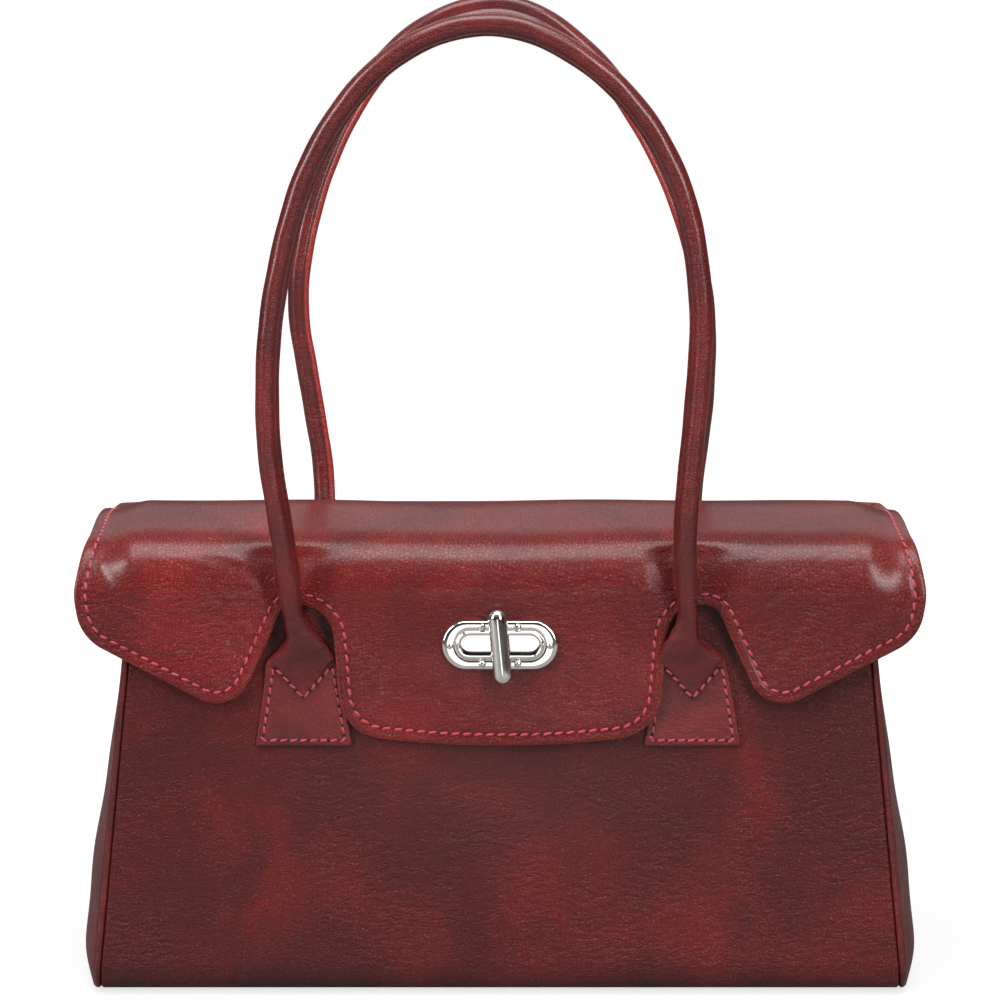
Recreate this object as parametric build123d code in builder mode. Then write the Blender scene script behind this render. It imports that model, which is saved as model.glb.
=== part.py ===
"""Satchel bag: leather body with side gussets, two rolled handles, a fold-over flap and a turn lock.

Frame: millimetres, origin on the surface that the bag stands on, under the middle of its base.
+X runs to the bag's left-hand end as it faces you (your right), +Y runs to its back, +Z is up.
"""

import os
from math import atan, atan2, cos, radians, sin, tan

from build123d import *

# ---------------------------------------------------------------- driving sizes
body_height = 188.2          # base to the top edge of the front and back panels
base_depth = 120.0           # front to back at the base
top_depth = 92.0             # front to back at the mouth
base_half_width = 170.0      # middle to side seam at the base
top_half_width = 151.0       # middle to side seam at the mouth
base_corner_radius = 15.0    # roll of the panel from the front into the base

panel_leather = 2.0          # wrap panel, gussets
gusset_leather = 2.0
piping_radius = 1.3
piping_end_drop = 3.0        # piping ends below the mouth's edge, turned in
seam_gap = 0.12              # between piping and the leather edges it joins
gusset_outline_gap = 0.5     # gusset edge inside the panel's outline
gusset_rim_thickness = 4.0   # leather folded double where the gusset is sewn
gusset_low_swell = [(0.4, 2.5), (10.0, 9.0), (60.0, 7.6)]   # height above the base, bulge
gusset_high_swell = [(60.0, 3.4), (4.0, 2.6)]               # drop below the mouth, bulge

board_thickness = 3.0        # base stiffener
board_gap = 0.2
board_edge_gap = 2.0         # board to the roll of the panel
board_end_gap = 8.0          # board to the side seams
board_corner = 10.0
lining_gap = 3.4             # room behind the panel for the lock's inner parts
lining_cloth = 0.8
lining_side_gap = 1.0        # lining end wall to the seam
facing_leather = 1.5         # leather band round the inside of the mouth
facing_height = 26.0
facing_lip = 1.6             # turned-out top edge of the band
cloth_gap = 0.3
cut_margin = 10.0            # how far a cutting shape reaches past what it cuts

flap_rise = 6.0              # outer face of the flap above the panel's top edge
flap_half_width = 175.0
flap_leather_thickness = 2.0
flap_lining_thickness = 1.0
flap_standoff = 2.4          # flap lining to front panel, room for the lock plates
flap_fold_radius = 11.0      # outer radius of the front top fold
hinge_back_gap = 0.0         # hinge line behind the back panel's top edge
flap_lining_inset = 6.0      # lining ends before the hinge line
hinge_gap = 0.4              # between the flap's rolled end and the strip that carries it
strip_height = 24.0          # flap strip sewn to the back panel
lobe_corner_drop = 37.2      # outline of the flap's front: drops below its top, half widths
lobe_corner_radius = 22.0
lobe_low_x = 111.4
lobe_low_drop = 73.1
lobe_low_radius = 15.0
notch_top_drop = 26.0
notch_outer_x = 89.8
notch_inner_x = 70.5
notch_radius = 7.0
tongue_half_width = 66.0
tongue_corner_drop = 81.0
tongue_low_drop = 85.4
tongue_corner_radius = 20.0

tab_leather = 1.9            # sewn trapezoid ends of the handles
tab_low_drop = 80.4          # below the panel's top edge, as the drops that follow
tab_high_drop = 42.0
tab_low_width = 40.5
tab_high_width = 27.5
front_tab_x = (-82.2, 80.5)  # left and right tab on the front panel
back_tab_x = (-81.5, 84.5)
front_root_x = (-84.6, 78.0)  # where each tube leaves its tab
back_root_x = (-81.5, 84.5)
flare_low_drop = 47.5        # where the tab starts to rise into the tube
flare_low_size = (10.6, 1.2)     # half width and half thickness
flare_mid_size = (9.4, 2.7)
flare_neck_radius = 3.9
flare_seat_gap = 0.1         # back of the flare to the panel
flare_neck_drop = 34.4
flare_neck_inset = 0.7       # neck's middle inside the hinge line

tube_radius = 4.2            # rolled handle
core_radius = 2.4
core_fit = 0.1
core_end_inset = 7.0
handle_hinge_drop = 31.4
handle_hinge_depth = 57.5    # hinge line of each handle, out from the middle
handle_depth = 64.5          # plane of each standing handle
handle_swing = 100.0         # degrees each handle folds down from standing
swing_gap = 0.55

lock_drop = 37.0             # middle of the lock below the panel's top edge
plate_length = 48.4
plate_height = 20.6
plate_thickness = 2.6
plate_bevel = 0.9
rim_length = 37.0
rim_height = 12.4
rim_rise = 0.6
slot_length = 33.0
slot_height = 8.4
slot_gap_in_leather = 1.0
back_plate_length = 46.0
back_plate_height = 19.0
back_plate_opening = (39.0, 15.6)
back_plate_thickness = 0.8
base_plate_length = 37.0
base_plate_height = 14.0
base_plate_thickness = 1.2
turret_radius = 3.6
turret_top = 7.0             # above the panel's face
stem_radius = 2.0
running_gap = 0.05
hole_gap = 0.3
knob_length = 31.5
knob_width = 7.4
knob_thickness = 4.6
knob_gap = 0.6               # bar to the plate's raised rim
knob_edge_radius = 2.0
knob_tilt = 5.5              # degrees off upright when locked
rivet_head_radius = 1.0
rivet_head_height = 0.7
rivet_head_taper = 25.0      # degrees
rivet_shank_radius = 0.55
rivet_top_x = 7.4
rivet_top_y = 7.7
rivet_side_x = 20.9
patch_size = (64.0, 40.0)    # stiff patch behind the panel
patch_thickness = 1.2
patch_corner = 6.0
washer_radius = 9.0
washer_thickness = 0.8
retainer_rim = 0.3           # retainer inside the turret's outline
retainer_thickness = 0.8
retainer_gap = 0.1

# ---------------------------------------------------------------- worked-out sizes
flap_top_height = body_height + flap_rise
lobe_corner_height = flap_top_height - lobe_corner_drop
lobe_low_height = flap_top_height - lobe_low_drop
notch_top_height = flap_top_height - notch_top_drop
tongue_corner_height = flap_top_height - tongue_corner_drop
tongue_low_height = flap_top_height - tongue_low_drop
tab_low_height = body_height - tab_low_drop
tab_high_height = body_height - tab_high_drop
flare_low_height = body_height - flare_low_drop
flare_neck_height = body_height - flare_neck_drop
handle_hinge_height = body_height - handle_hinge_drop
lock_height = body_height - lock_drop
gusset_swell = gusset_low_swell + [(body_height - d, swell) for d, swell in gusset_high_swell]

lean = (base_depth - top_depth) / 2 / body_height             # depth lost per height
lean_angle = atan(lean)
taper = (base_half_width - top_half_width) / body_height      # half width lost per height
taper_angle = atan(taper)

front_plane = Plane(
    origin=(0, -base_depth / 2, 0),
    x_dir=(1, 0, 0),
    z_dir=(0, -cos(lean_angle), sin(lean_angle)),
)
side_plane = Plane(
    origin=(base_half_width, 0, 0),
    x_dir=(0, 1, 0),
    z_dir=(cos(taper_angle), 0, sin(taper_angle)),
)
other_side_plane = Plane(
    origin=(-base_half_width, 0, 0),
    x_dir=(0, -1, 0),
    z_dir=(-cos(taper_angle), 0, sin(taper_angle)),
)


def half_depth(height, inset=0.0):
    """Distance from the middle to the panel's face at a height, moved in by inset."""
    return base_depth / 2 - height * lean - inset / cos(lean_angle)


def seam_x(height):
    """Distance from the middle to the side seam at a height."""
    return base_half_width - height * taper


def up_slope(height):
    """Distance up the leaning panel that reaches a height."""
    return height / cos(lean_angle)


def tub_face(inset, top):
    """End view of the bag body, moved in by inset and cut level at top."""
    with BuildSketch(Plane.YZ) as face:
        Polygon(
            (-half_depth(inset, inset), inset),
            (half_depth(inset, inset), inset),
            (half_depth(top, inset), top),
            (-half_depth(top, inset), top),
            align=None,
        )
        low_corners = face.vertices().group_by(Axis.Y)[0]
        fillet(low_corners, max(base_corner_radius - inset, 1.0))
    return face.sketch_local


def tub(inset, side_inset, top):
    """Solid block that fills the body, moved in by inset and, at its ends, by side_inset."""
    with BuildPart() as block:
        with BuildSketch(Plane.YZ):
            add(tub_face(inset, top))
        extrude(amount=base_half_width + cut_margin, both=True)
        split(bisect_by=side_plane.offset(-side_inset), keep=Keep.BOTTOM)
        split(bisect_by=other_side_plane.offset(-side_inset), keep=Keep.BOTTOM)
    return block.part


def finish(part, name):
    """Label a finished piece and write it to its own file."""
    part.label = name
    export_step(part, f"parts/{name}.step")


os.makedirs("parts", exist_ok=True)

# ---------------------------------------------------------------- body panel
# One piece of leather: down the front, under the base and up the back.
with BuildPart() as body_panel:
    add(tub(0, 0, body_height))
    with BuildSketch(Plane.YZ):
        add(tub_face(panel_leather, body_height + cut_margin))
    extrude(amount=base_half_width + cut_margin, both=True, mode=Mode.SUBTRACT)
    with BuildSketch(front_plane):
        with Locations((0, up_slope(lock_height))):
            Circle(turret_radius + hole_gap)
    extrude(amount=-panel_leather - cut_margin, mode=Mode.SUBTRACT)
finish(body_panel.part, "body_panel")

# ---------------------------------------------------------------- piping and gussets
# Piping runs down the front seam, under the base and up the back seam of each end.
piping_plane = side_plane.offset(seam_gap + piping_radius)
piping_end = body_height - piping_end_drop
piping_top = piping_end / cos(taper_angle)
piping_low = piping_radius / cos(taper_angle)
with BuildPart() as piping_right:
    with BuildLine(piping_plane) as piping_path:
        FilletPolyline(
            (-half_depth(piping_end, piping_radius), piping_top),
            (-half_depth(piping_radius, piping_radius), piping_low),
            (half_depth(piping_radius, piping_radius), piping_low),
            (half_depth(piping_end, piping_radius), piping_top),
            radius=base_corner_radius - piping_radius,
        )
    with BuildSketch(Plane(origin=piping_path.line @ 0, z_dir=piping_path.line % 0)):
        Circle(piping_radius)
    sweep(path=piping_path.line)
finish(piping_right.part, "piping_right")

gusset_rim = 2 * piping_radius + 2 * seam_gap
with BuildPart() as gusset_right:
    for height, swell in gusset_swell:
        rim_x = seam_x(height) + gusset_rim
        reach = half_depth(height, gusset_outline_gap)
        with BuildSketch(Plane.XY.offset(height)):
            with BuildLine():
                outer = ThreePointArc((rim_x, -reach), (rim_x + swell, 0), (rim_x, reach))
                inner = ThreePointArc(
                    (rim_x, gusset_rim_thickness - reach),
                    (rim_x + swell - gusset_leather, 0),
                    (rim_x, reach - gusset_rim_thickness),
                )
                Line(outer @ 0, inner @ 0)
                Line(outer @ 1, inner @ 1)
            make_face()
    loft(ruled=True)
    with BuildSketch(Plane.YZ):
        add(tub_face(gusset_outline_gap, body_height))
    extrude(amount=base_half_width + 2 * cut_margin, mode=Mode.INTERSECT)
finish(gusset_right.part, "gusset_right")

with BuildPart() as piping_left:
    mirror(piping_right.part, about=Plane.YZ)
finish(piping_left.part, "piping_left")

with BuildPart() as gusset_left:
    mirror(gusset_right.part, about=Plane.YZ)
finish(gusset_left.part, "gusset_left")

# ---------------------------------------------------------------- inside of the body
board_low = panel_leather + board_gap
board_half_depth = base_depth / 2 - base_corner_radius - board_edge_gap
with BuildPart() as base_board:
    with BuildSketch(Plane.XY.offset(board_low)):
        RectangleRounded(2 * (seam_x(board_low) - board_end_gap), 2 * board_half_depth, board_corner)
    extrude(amount=board_thickness)
finish(base_board.part, "base_board")

lining_inset = panel_leather + lining_gap
facing_low = body_height - facing_height
with BuildPart() as lining:
    add(tub(lining_inset, lining_side_gap, facing_low - cloth_gap))
    add(
        tub(lining_inset + lining_cloth, lining_side_gap + lining_cloth, body_height),
        mode=Mode.SUBTRACT,
    )
finish(lining.part, "lining")

with BuildPart() as mouth_facing:
    add(tub(lining_inset, lining_side_gap, body_height))
    add(
        tub(lining_inset + facing_leather, lining_side_gap + facing_leather, body_height + cut_margin),
        mode=Mode.SUBTRACT,
    )
    split(bisect_by=Plane.XY.offset(facing_low), keep=Keep.TOP)
with BuildPart() as facing_edge:
    add(tub(panel_leather + seam_gap, 0, body_height))
    add(
        tub(lining_inset + facing_leather, lining_side_gap + facing_leather, body_height + cut_margin),
        mode=Mode.SUBTRACT,
    )
    split(bisect_by=Plane.XY.offset(body_height - facing_lip), keep=Keep.TOP)
with BuildPart() as mouth_facing_whole:
    add(mouth_facing.part)
    add(facing_edge.part)
finish(mouth_facing_whole.part, "mouth_facing")

# ---------------------------------------------------------------- flap
# The flap turns on a line along the back edge of the mouth, where its leather bends.
hinge_y = top_depth / 2 + hinge_back_gap
hinge_z = flap_top_height - flap_leather_thickness / 2


def flap_front_y(height, standoff):
    """Depth of a flap face that lies standoff in front of the front panel."""
    return -half_depth(height, -standoff)


def flap_band(outer, inner, top_outer, top_inner, back):
    """End view of one flap layer: over the mouth, round the front fold and down the front."""
    low = tongue_low_height - cut_margin
    with BuildSketch(Plane.YZ) as band:
        with BuildLine():
            outer_run = FilletPolyline(
                (back, top_outer),
                (flap_front_y(top_outer, outer), top_outer),
                (flap_front_y(low, outer), low),
                radius=flap_fold_radius - (flap_top_height - top_outer),
            )
            inner_run = FilletPolyline(
                (back, top_inner),
                (flap_front_y(top_inner, inner), top_inner),
                (flap_front_y(low, inner), low),
                radius=flap_fold_radius - (flap_top_height - top_inner),
            )
            Line(outer_run @ 0, inner_run @ 0)
            Line(outer_run @ 1, inner_run @ 1)
        make_face()
    return band.sketch_local


def flap_outline():
    """Front view of the flap: a lobe at each end, a notch at each handle and a middle tongue."""
    with BuildSketch(Plane.XZ) as outline:
        with BuildLine():
            for side in (-1, 1):
                Polyline(
                    (0, flap_top_height + cut_margin),
                    (side * flap_half_width, flap_top_height + cut_margin),
                    (side * flap_half_width, lobe_corner_height),
                    (side * lobe_low_x, lobe_low_height),
                    (side * notch_outer_x, notch_top_height),
                    (side * notch_inner_x, notch_top_height),
                    (side * tongue_half_width, tongue_corner_height),
                )
            ThreePointArc(
                (-tongue_half_width, tongue_corner_height),
                (0, tongue_low_height),
                (tongue_half_width, tongue_corner_height),
            )
        make_face()
        corner_radii = [
            (flap_half_width, lobe_corner_height, lobe_corner_radius),
            (lobe_low_x, lobe_low_height, lobe_low_radius),
            (notch_outer_x, notch_top_height, notch_radius),
            (notch_inner_x, notch_top_height, notch_radius),
            (tongue_half_width, tongue_corner_height, tongue_corner_radius),
        ]
        for x, z, radius in corner_radii:
            for side in (-1, 1):
                corner = outline.vertices().sort_by_distance((side * x, z, 0))[0]
                fillet(corner, radius)
    return outline.sketch_local


leather_outer = flap_standoff + flap_lining_thickness + flap_leather_thickness
leather_inner = flap_standoff + flap_lining_thickness
leather_under = flap_top_height - flap_leather_thickness
slot_in_leather = (
    slot_length + 2 * slot_gap_in_leather,
    slot_height + 2 * slot_gap_in_leather,
)
rivet_points = [(side * rivet_side_x, 0) for side in (-1, 1)] + [
    (side * rivet_top_x, up * rivet_top_y) for side in (-1, 1) for up in (-1, 1)
]

with BuildPart() as flap_leather:
    with BuildSketch(Plane.YZ):
        add(flap_band(leather_outer, leather_inner, flap_top_height, leather_under, hinge_y))
        with Locations((hinge_y, hinge_z)):
            Circle(flap_leather_thickness / 2)
    extrude(amount=flap_half_width + cut_margin, both=True)
    with BuildSketch(Plane.XZ):
        add(flap_outline())
    extrude(amount=base_depth, both=True, mode=Mode.INTERSECT)
    with BuildSketch(front_plane):
        with Locations((0, up_slope(lock_height))):
            SlotOverall(*slot_in_leather)
            with Locations(*rivet_points):
                Circle(rivet_shank_radius)
    extrude(amount=leather_outer + cut_margin, mode=Mode.SUBTRACT)
finish(flap_leather.part, "flap_leather")

lining_back = hinge_y - flap_lining_inset
with BuildPart() as flap_lining:
    with BuildSketch(Plane.YZ):
        add(
            flap_band(
                leather_inner,
                flap_standoff,
                leather_under,
                leather_under - flap_lining_thickness,
                lining_back,
            )
        )
    extrude(amount=flap_half_width + cut_margin, both=True)
    with BuildSketch(Plane.XZ):
        add(flap_outline())
    extrude(amount=base_depth, both=True, mode=Mode.INTERSECT)
    with BuildSketch(front_plane):
        with Locations((0, up_slope(lock_height))):
            SlotOverall(*slot_in_leather)
            with Locations(*rivet_points):
                Circle(rivet_shank_radius)
    extrude(amount=leather_outer + cut_margin, mode=Mode.SUBTRACT)
finish(flap_lining.part, "flap_lining")

# The flap's rear end carries on down the back panel as a sewn strip.
strip_high = hinge_z - flap_leather_thickness / 2 - hinge_gap
strip_low = body_height - strip_height
with BuildPart() as flap_back_strip:
    with BuildSketch(Plane.YZ):
        Polygon(
            (half_depth(strip_low), strip_low),
            (half_depth(strip_low) + flap_leather_thickness, strip_low),
            (half_depth(body_height) + flap_leather_thickness, body_height),
            (hinge_y + flap_leather_thickness / 2, strip_high),
            (hinge_y - flap_leather_thickness / 2, strip_high),
            (half_depth(body_height) - panel_leather, body_height + cloth_gap),
            (half_depth(body_height), body_height),
            align=None,
        )
    extrude(amount=base_half_width, both=True)
    split(bisect_by=side_plane.offset(-seam_gap), keep=Keep.BOTTOM)
    split(bisect_by=other_side_plane.offset(-seam_gap), keep=Keep.BOTTOM)
finish(flap_back_strip.part, "flap_back_strip")

# ---------------------------------------------------------------- handle tabs
# Each handle end is cut as a trapezoid, sewn flat to the panel and rolled up into the tube.
neck_out = handle_hinge_depth - flare_neck_inset
root_lean = atan2(handle_depth - handle_hinge_depth, flap_top_height - handle_hinge_height)
droop = radians(handle_swing - 90) + root_lean    # lowest direction of a folded tube's root


def handle_tab(x, root_x):
    """Trapezoid tab on the front panel with the flare that rises from it to the handle."""
    low = up_slope(tab_low_height)
    high = up_slope(tab_high_height)
    flare_mid_height = (flare_low_height + flare_neck_height) / 2
    low_out = half_depth(flare_low_height) + flare_low_size[1] + flare_seat_gap
    mid_out = (low_out + neck_out) / 2
    hinge_point = (root_x, -handle_hinge_depth, handle_hinge_height)
    with BuildPart() as tab:
        with BuildSketch(front_plane):
            Polygon(
                (x - tab_low_width / 2, low),
                (x + tab_low_width / 2, low),
                (x + tab_high_width / 2, high),
                (x - tab_high_width / 2, high),
                align=None,
            )
        extrude(amount=tab_leather)
        with BuildSketch(Plane.XY.offset(flare_low_height)):
            with Locations((x, -low_out)):
                Ellipse(*flare_low_size)
        with BuildSketch(Plane.XY.offset(flare_mid_height)):
            with Locations(((x + root_x) / 2, -mid_out)):
                Ellipse(*flare_mid_size)
        with BuildSketch(Plane.XY.offset(flare_neck_height)):
            with Locations((root_x, -neck_out)):
                Ellipse(flare_neck_radius + 0.01, flare_neck_radius)
        loft(ruled=True)
        with Locations(hinge_point):
            Sphere(tube_radius + swing_gap, mode=Mode.SUBTRACT)
        with BuildSketch(Plane(origin=hinge_point, z_dir=(0, -cos(droop), -sin(droop)))):
            Circle(tube_radius + swing_gap)
        extrude(amount=4 * tube_radius, mode=Mode.SUBTRACT)
    return tab.part


with BuildPart() as tab_front_left:
    add(handle_tab(front_tab_x[0], front_root_x[0]))
finish(tab_front_left.part, "tab_front_left")

with BuildPart() as tab_front_right:
    add(handle_tab(front_tab_x[1], front_root_x[1]))
finish(tab_front_right.part, "tab_front_right")

with BuildPart() as tab_back_left:
    mirror(handle_tab(back_tab_x[0], back_root_x[0]), about=Plane.XZ)
finish(tab_back_left.part, "tab_back_left")

with BuildPart() as tab_back_right:
    mirror(handle_tab(back_tab_x[1], back_root_x[1]), about=Plane.XZ)
finish(tab_back_right.part, "tab_back_right")

# ---------------------------------------------------------------- handles
# Each route runs from tab to tab, as (x, distance out from the middle, height above the mouth).
front_route = [
    (front_root_x[0], handle_hinge_depth, -handle_hinge_drop),
    (-89.5, handle_depth, 6),
    (-97.5, handle_depth, 62),
    (-91.5, handle_depth, 124),
    (-73, handle_depth, 178),
    (-38, handle_depth, 215),
    (4, handle_depth, 223.5),
    (44, handle_depth, 202),
    (72, handle_depth, 165),
    (83.5, handle_depth, 114),
    (81, handle_depth, 63),
    (76.3, handle_depth, 21),
    (front_root_x[1], handle_hinge_depth, -handle_hinge_drop),
]
back_route = [
    (back_root_x[0], handle_hinge_depth, -handle_hinge_drop),
    (-78, handle_depth, 9),
    (-84.5, handle_depth, 52),
    (-92, handle_depth, 94),
    (-83.5, handle_depth, 140),
    (-64, handle_depth, 185),
    (-33, handle_depth, 218),
    (7, handle_depth, 227),
    (43, handle_depth, 202),
    (72, handle_depth, 159),
    (90.5, handle_depth, 107),
    (93, handle_depth, 58),
    (86.5, handle_depth, 11),
    (back_root_x[1], handle_hinge_depth, -handle_hinge_drop),
]


def bend_radii(points):
    """Radius of each bend: 0.45 of the shorter run beside it over the tangent of half the turn."""
    radii = []
    for before, corner, after in zip(points, points[1:], points[2:]):
        run_in = Vector(*corner) - Vector(*before)
        run_out = Vector(*after) - Vector(*corner)
        half_turn = radians(run_in.get_angle(run_out)) / 2
        radii.append(0.45 * min(run_in.length, run_out.length) / tan(half_turn))
    return radii


def shortened(points, inset):
    """The same route with both ends moved in along their first runs."""
    first = Vector(*points[0]) + (Vector(*points[1]) - Vector(*points[0])).normalized() * inset
    last = Vector(*points[-1]) + (Vector(*points[-2]) - Vector(*points[-1])).normalized() * inset
    return [tuple(first)] + points[1:-1] + [tuple(last)]


def rolled_tube(points, radius):
    """Round bar along a route of straight runs joined by tangent arcs."""
    with BuildPart() as bar:
        with BuildLine() as path:
            FilletPolyline(*points, radius=bend_radii(points))
        with BuildSketch(Plane(origin=path.line @ 0, z_dir=path.line % 0)):
            Circle(radius)
        sweep(path=path.line)
    return bar.part


def handle_grip(points):
    """Rolled leather tube with rounded ends on the hinge line and a bore for its cord core."""
    bore_points = shortened(points, core_end_inset)
    with BuildPart() as grip:
        add(rolled_tube(points, tube_radius))
        with Locations(points[0], points[-1]):
            Sphere(tube_radius)
        add(rolled_tube(bore_points, core_radius + core_fit), mode=Mode.SUBTRACT)
    return grip.part


def standing(route, side):
    """Route points in the bag's frame, side -1 for the front handle, 1 for the back one."""
    return [(x, side * out, body_height + rise) for x, out, rise in route]


for place, route, side in (("front", front_route, -1), ("back", back_route, 1)):
    points = standing(route, side)
    with BuildPart() as handle_grip_part:
        add(handle_grip(points))
    finish(handle_grip_part.part, f"handle_{place}_grip")
    with BuildPart() as handle_core_part:
        add(rolled_tube(shortened(points, core_end_inset + core_fit), core_radius))
    finish(handle_core_part.part, f"handle_{place}_core")

# ---------------------------------------------------------------- turn lock
# All its pieces stand on the leaning front, measured out along its normal from the panel.
lock_plane = Plane(
    origin=front_plane.from_local_coords((0, up_slope(lock_height), 0)),
    x_dir=front_plane.x_dir,
    z_dir=front_plane.z_dir,
)
ring_foot = leather_outer
ring_face = ring_foot + plate_thickness
rim_face = ring_face + rim_rise
patch_back = -panel_leather - patch_thickness
washer_back = patch_back - washer_thickness
retainer_front = washer_back - retainer_gap
knob_foot = rim_face + knob_gap

with BuildPart() as lock_ring_plate:
    with BuildSketch(lock_plane.offset(ring_foot)):
        SlotOverall(plate_length, plate_height)
    extrude(amount=plate_thickness)
    outer_edge = lock_ring_plate.faces().sort_by(Axis((0, 0, 0), lock_plane.z_dir))[-1].edges()
    chamfer(outer_edge, plate_bevel)
    with BuildSketch(lock_plane.offset(ring_face)):
        SlotOverall(rim_length, rim_height)
    extrude(amount=rim_rise)
    with BuildSketch(lock_plane.offset(ring_foot)):
        SlotOverall(slot_length, slot_height)
    extrude(amount=plate_thickness + rim_rise, mode=Mode.SUBTRACT)
    with BuildSketch(lock_plane.offset(ring_foot)):
        with Locations(*rivet_points):
            Circle(rivet_shank_radius)
    extrude(amount=plate_thickness, mode=Mode.SUBTRACT)
finish(lock_ring_plate.part, "lock_ring_plate")

back_plate_face = flap_standoff
back_plate_foot = flap_standoff - back_plate_thickness
with BuildPart() as lock_back_plate:
    with BuildSketch(lock_plane.offset(back_plate_foot)):
        SlotOverall(back_plate_length, back_plate_height)
        SlotOverall(*back_plate_opening, mode=Mode.SUBTRACT)
    extrude(amount=back_plate_thickness)
finish(lock_back_plate.part, "lock_back_plate")

with BuildPart() as lock_rivets:
    with BuildSketch(lock_plane.offset(back_plate_face)):
        with Locations(*rivet_points):
            Circle(rivet_shank_radius)
    extrude(amount=ring_face - back_plate_face)
    with BuildSketch(lock_plane.offset(ring_face)):
        with Locations(*rivet_points):
            Circle(rivet_head_radius)
    extrude(amount=rivet_head_height, taper=rivet_head_taper)
finish(lock_rivets.part, "lock_rivets")

with BuildPart() as lock_base_plate:
    with BuildSketch(lock_plane):
        SlotOverall(base_plate_length, base_plate_height)
        Circle(turret_radius, mode=Mode.SUBTRACT)
    extrude(amount=base_plate_thickness)
finish(lock_base_plate.part, "lock_base_plate")

with BuildPart() as lock_turret:
    with BuildSketch(lock_plane.offset(washer_back)):
        Circle(turret_radius)
        Circle(stem_radius + running_gap, mode=Mode.SUBTRACT)
    extrude(amount=turret_top - washer_back)
finish(lock_turret.part, "lock_turret")

with BuildPart() as lock_patch:
    with BuildSketch(lock_plane.offset(patch_back)):
        RectangleRounded(*patch_size, patch_corner)
        Circle(turret_radius + hole_gap, mode=Mode.SUBTRACT)
    extrude(amount=patch_thickness)
finish(lock_patch.part, "lock_patch")

with BuildPart() as lock_washer:
    with BuildSketch(lock_plane.offset(washer_back)):
        Circle(washer_radius)
        Circle(turret_radius, mode=Mode.SUBTRACT)
    extrude(amount=washer_thickness)
finish(lock_washer.part, "lock_washer")

with BuildPart() as lock_knob:
    with BuildSketch(lock_plane.offset(knob_foot)):
        SlotOverall(knob_length, knob_width, rotation=90 + knob_tilt)
    extrude(amount=knob_thickness)
    front_face = lock_knob.faces().sort_by(Axis((0, 0, 0), lock_plane.z_dir))[-1]
    fillet(front_face.edges(), knob_edge_radius)
    with BuildSketch(lock_plane.offset(retainer_front)):
        Circle(stem_radius)
    extrude(amount=knob_foot - retainer_front)
    with BuildSketch(lock_plane.offset(turret_top + running_gap)):
        Circle(turret_radius - hole_gap)
    extrude(amount=knob_foot - turret_top - running_gap)
finish(lock_knob.part, "lock_knob")

with BuildPart() as lock_retainer:
    with BuildSketch(lock_plane.offset(retainer_front - retainer_thickness)):
        Circle(turret_radius - retainer_rim)
    extrude(amount=retainer_thickness)
finish(lock_retainer.part, "lock_retainer")

print("handle bends front", [round(r, 1) for r in bend_radii(standing(front_route, -1))])
print("handle bends back", [round(r, 1) for r in bend_radii(standing(back_route, 1))])
print("knob turns about", lock_plane.origin, lock_plane.z_dir)
print("flap turns about y, z", hinge_y, hinge_z)
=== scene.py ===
import bpy
import bmesh
import numpy as np
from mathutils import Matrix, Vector
from mathutils.geometry import delaunay_2d_cdt


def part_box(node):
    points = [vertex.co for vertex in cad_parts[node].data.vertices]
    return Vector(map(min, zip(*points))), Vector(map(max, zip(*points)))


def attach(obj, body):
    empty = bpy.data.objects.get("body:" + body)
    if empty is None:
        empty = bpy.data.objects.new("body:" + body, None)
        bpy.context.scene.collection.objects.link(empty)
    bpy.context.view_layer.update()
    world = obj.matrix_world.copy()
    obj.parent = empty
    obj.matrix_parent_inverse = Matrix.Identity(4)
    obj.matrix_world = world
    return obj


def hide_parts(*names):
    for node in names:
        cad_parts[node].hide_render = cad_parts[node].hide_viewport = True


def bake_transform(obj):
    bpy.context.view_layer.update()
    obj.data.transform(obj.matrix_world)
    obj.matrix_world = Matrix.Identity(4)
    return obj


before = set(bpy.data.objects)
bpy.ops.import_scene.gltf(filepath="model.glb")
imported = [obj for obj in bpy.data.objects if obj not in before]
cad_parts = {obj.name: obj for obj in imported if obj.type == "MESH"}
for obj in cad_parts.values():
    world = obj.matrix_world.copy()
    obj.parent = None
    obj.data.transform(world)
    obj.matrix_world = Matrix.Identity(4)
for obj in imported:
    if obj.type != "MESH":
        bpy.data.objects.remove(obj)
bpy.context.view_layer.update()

# ---------------------------------------------------------------- body panel
# One hide of vegetable-tanned cowhide goes down the front, under the base and up the back.
# Its ends are turned in over the piping, and the leather hangs a little full between the seams.
MM = 0.001


def box_mm(node):
    """Lowest and highest corner of a CAD node at rest, in millimetres."""
    low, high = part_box(node)
    return np.array(low) / MM, np.array(high) / MM


panel_high = box_mm("body_panel")[1]
mouth_height = panel_high[2]
base_half_width = panel_high[0]
base_half_depth = panel_high[1]
depth_lost = 14.0            # front and back each lean in by this much up to the mouth
width_lost = 19.0            # and each end by this much
base_roll = 15.0             # radius where the panel turns under the base
hide = 2.0                   # leather thickness
turned_edge = 1.6            # radius of the edge turned in at the piping
lean_angle = np.arctan(depth_lost / mouth_height)


def smooth_step(t):
    """0 below 0, 1 above 1, and 3t^2 - 2t^3 between."""
    t = np.clip(t, 0.0, 1.0)
    return t * t * (3.0 - 2.0 * t)


def half_depth(z, out=0.0):
    """Middle of the bag to a face that lies out from the leaning panel's face, at height z."""
    return base_half_depth - z * depth_lost / mouth_height + out / np.cos(lean_angle)


def seam_x(z):
    """Middle of the bag to the side seam at height z."""
    return base_half_width - z * width_lost / mouth_height


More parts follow.
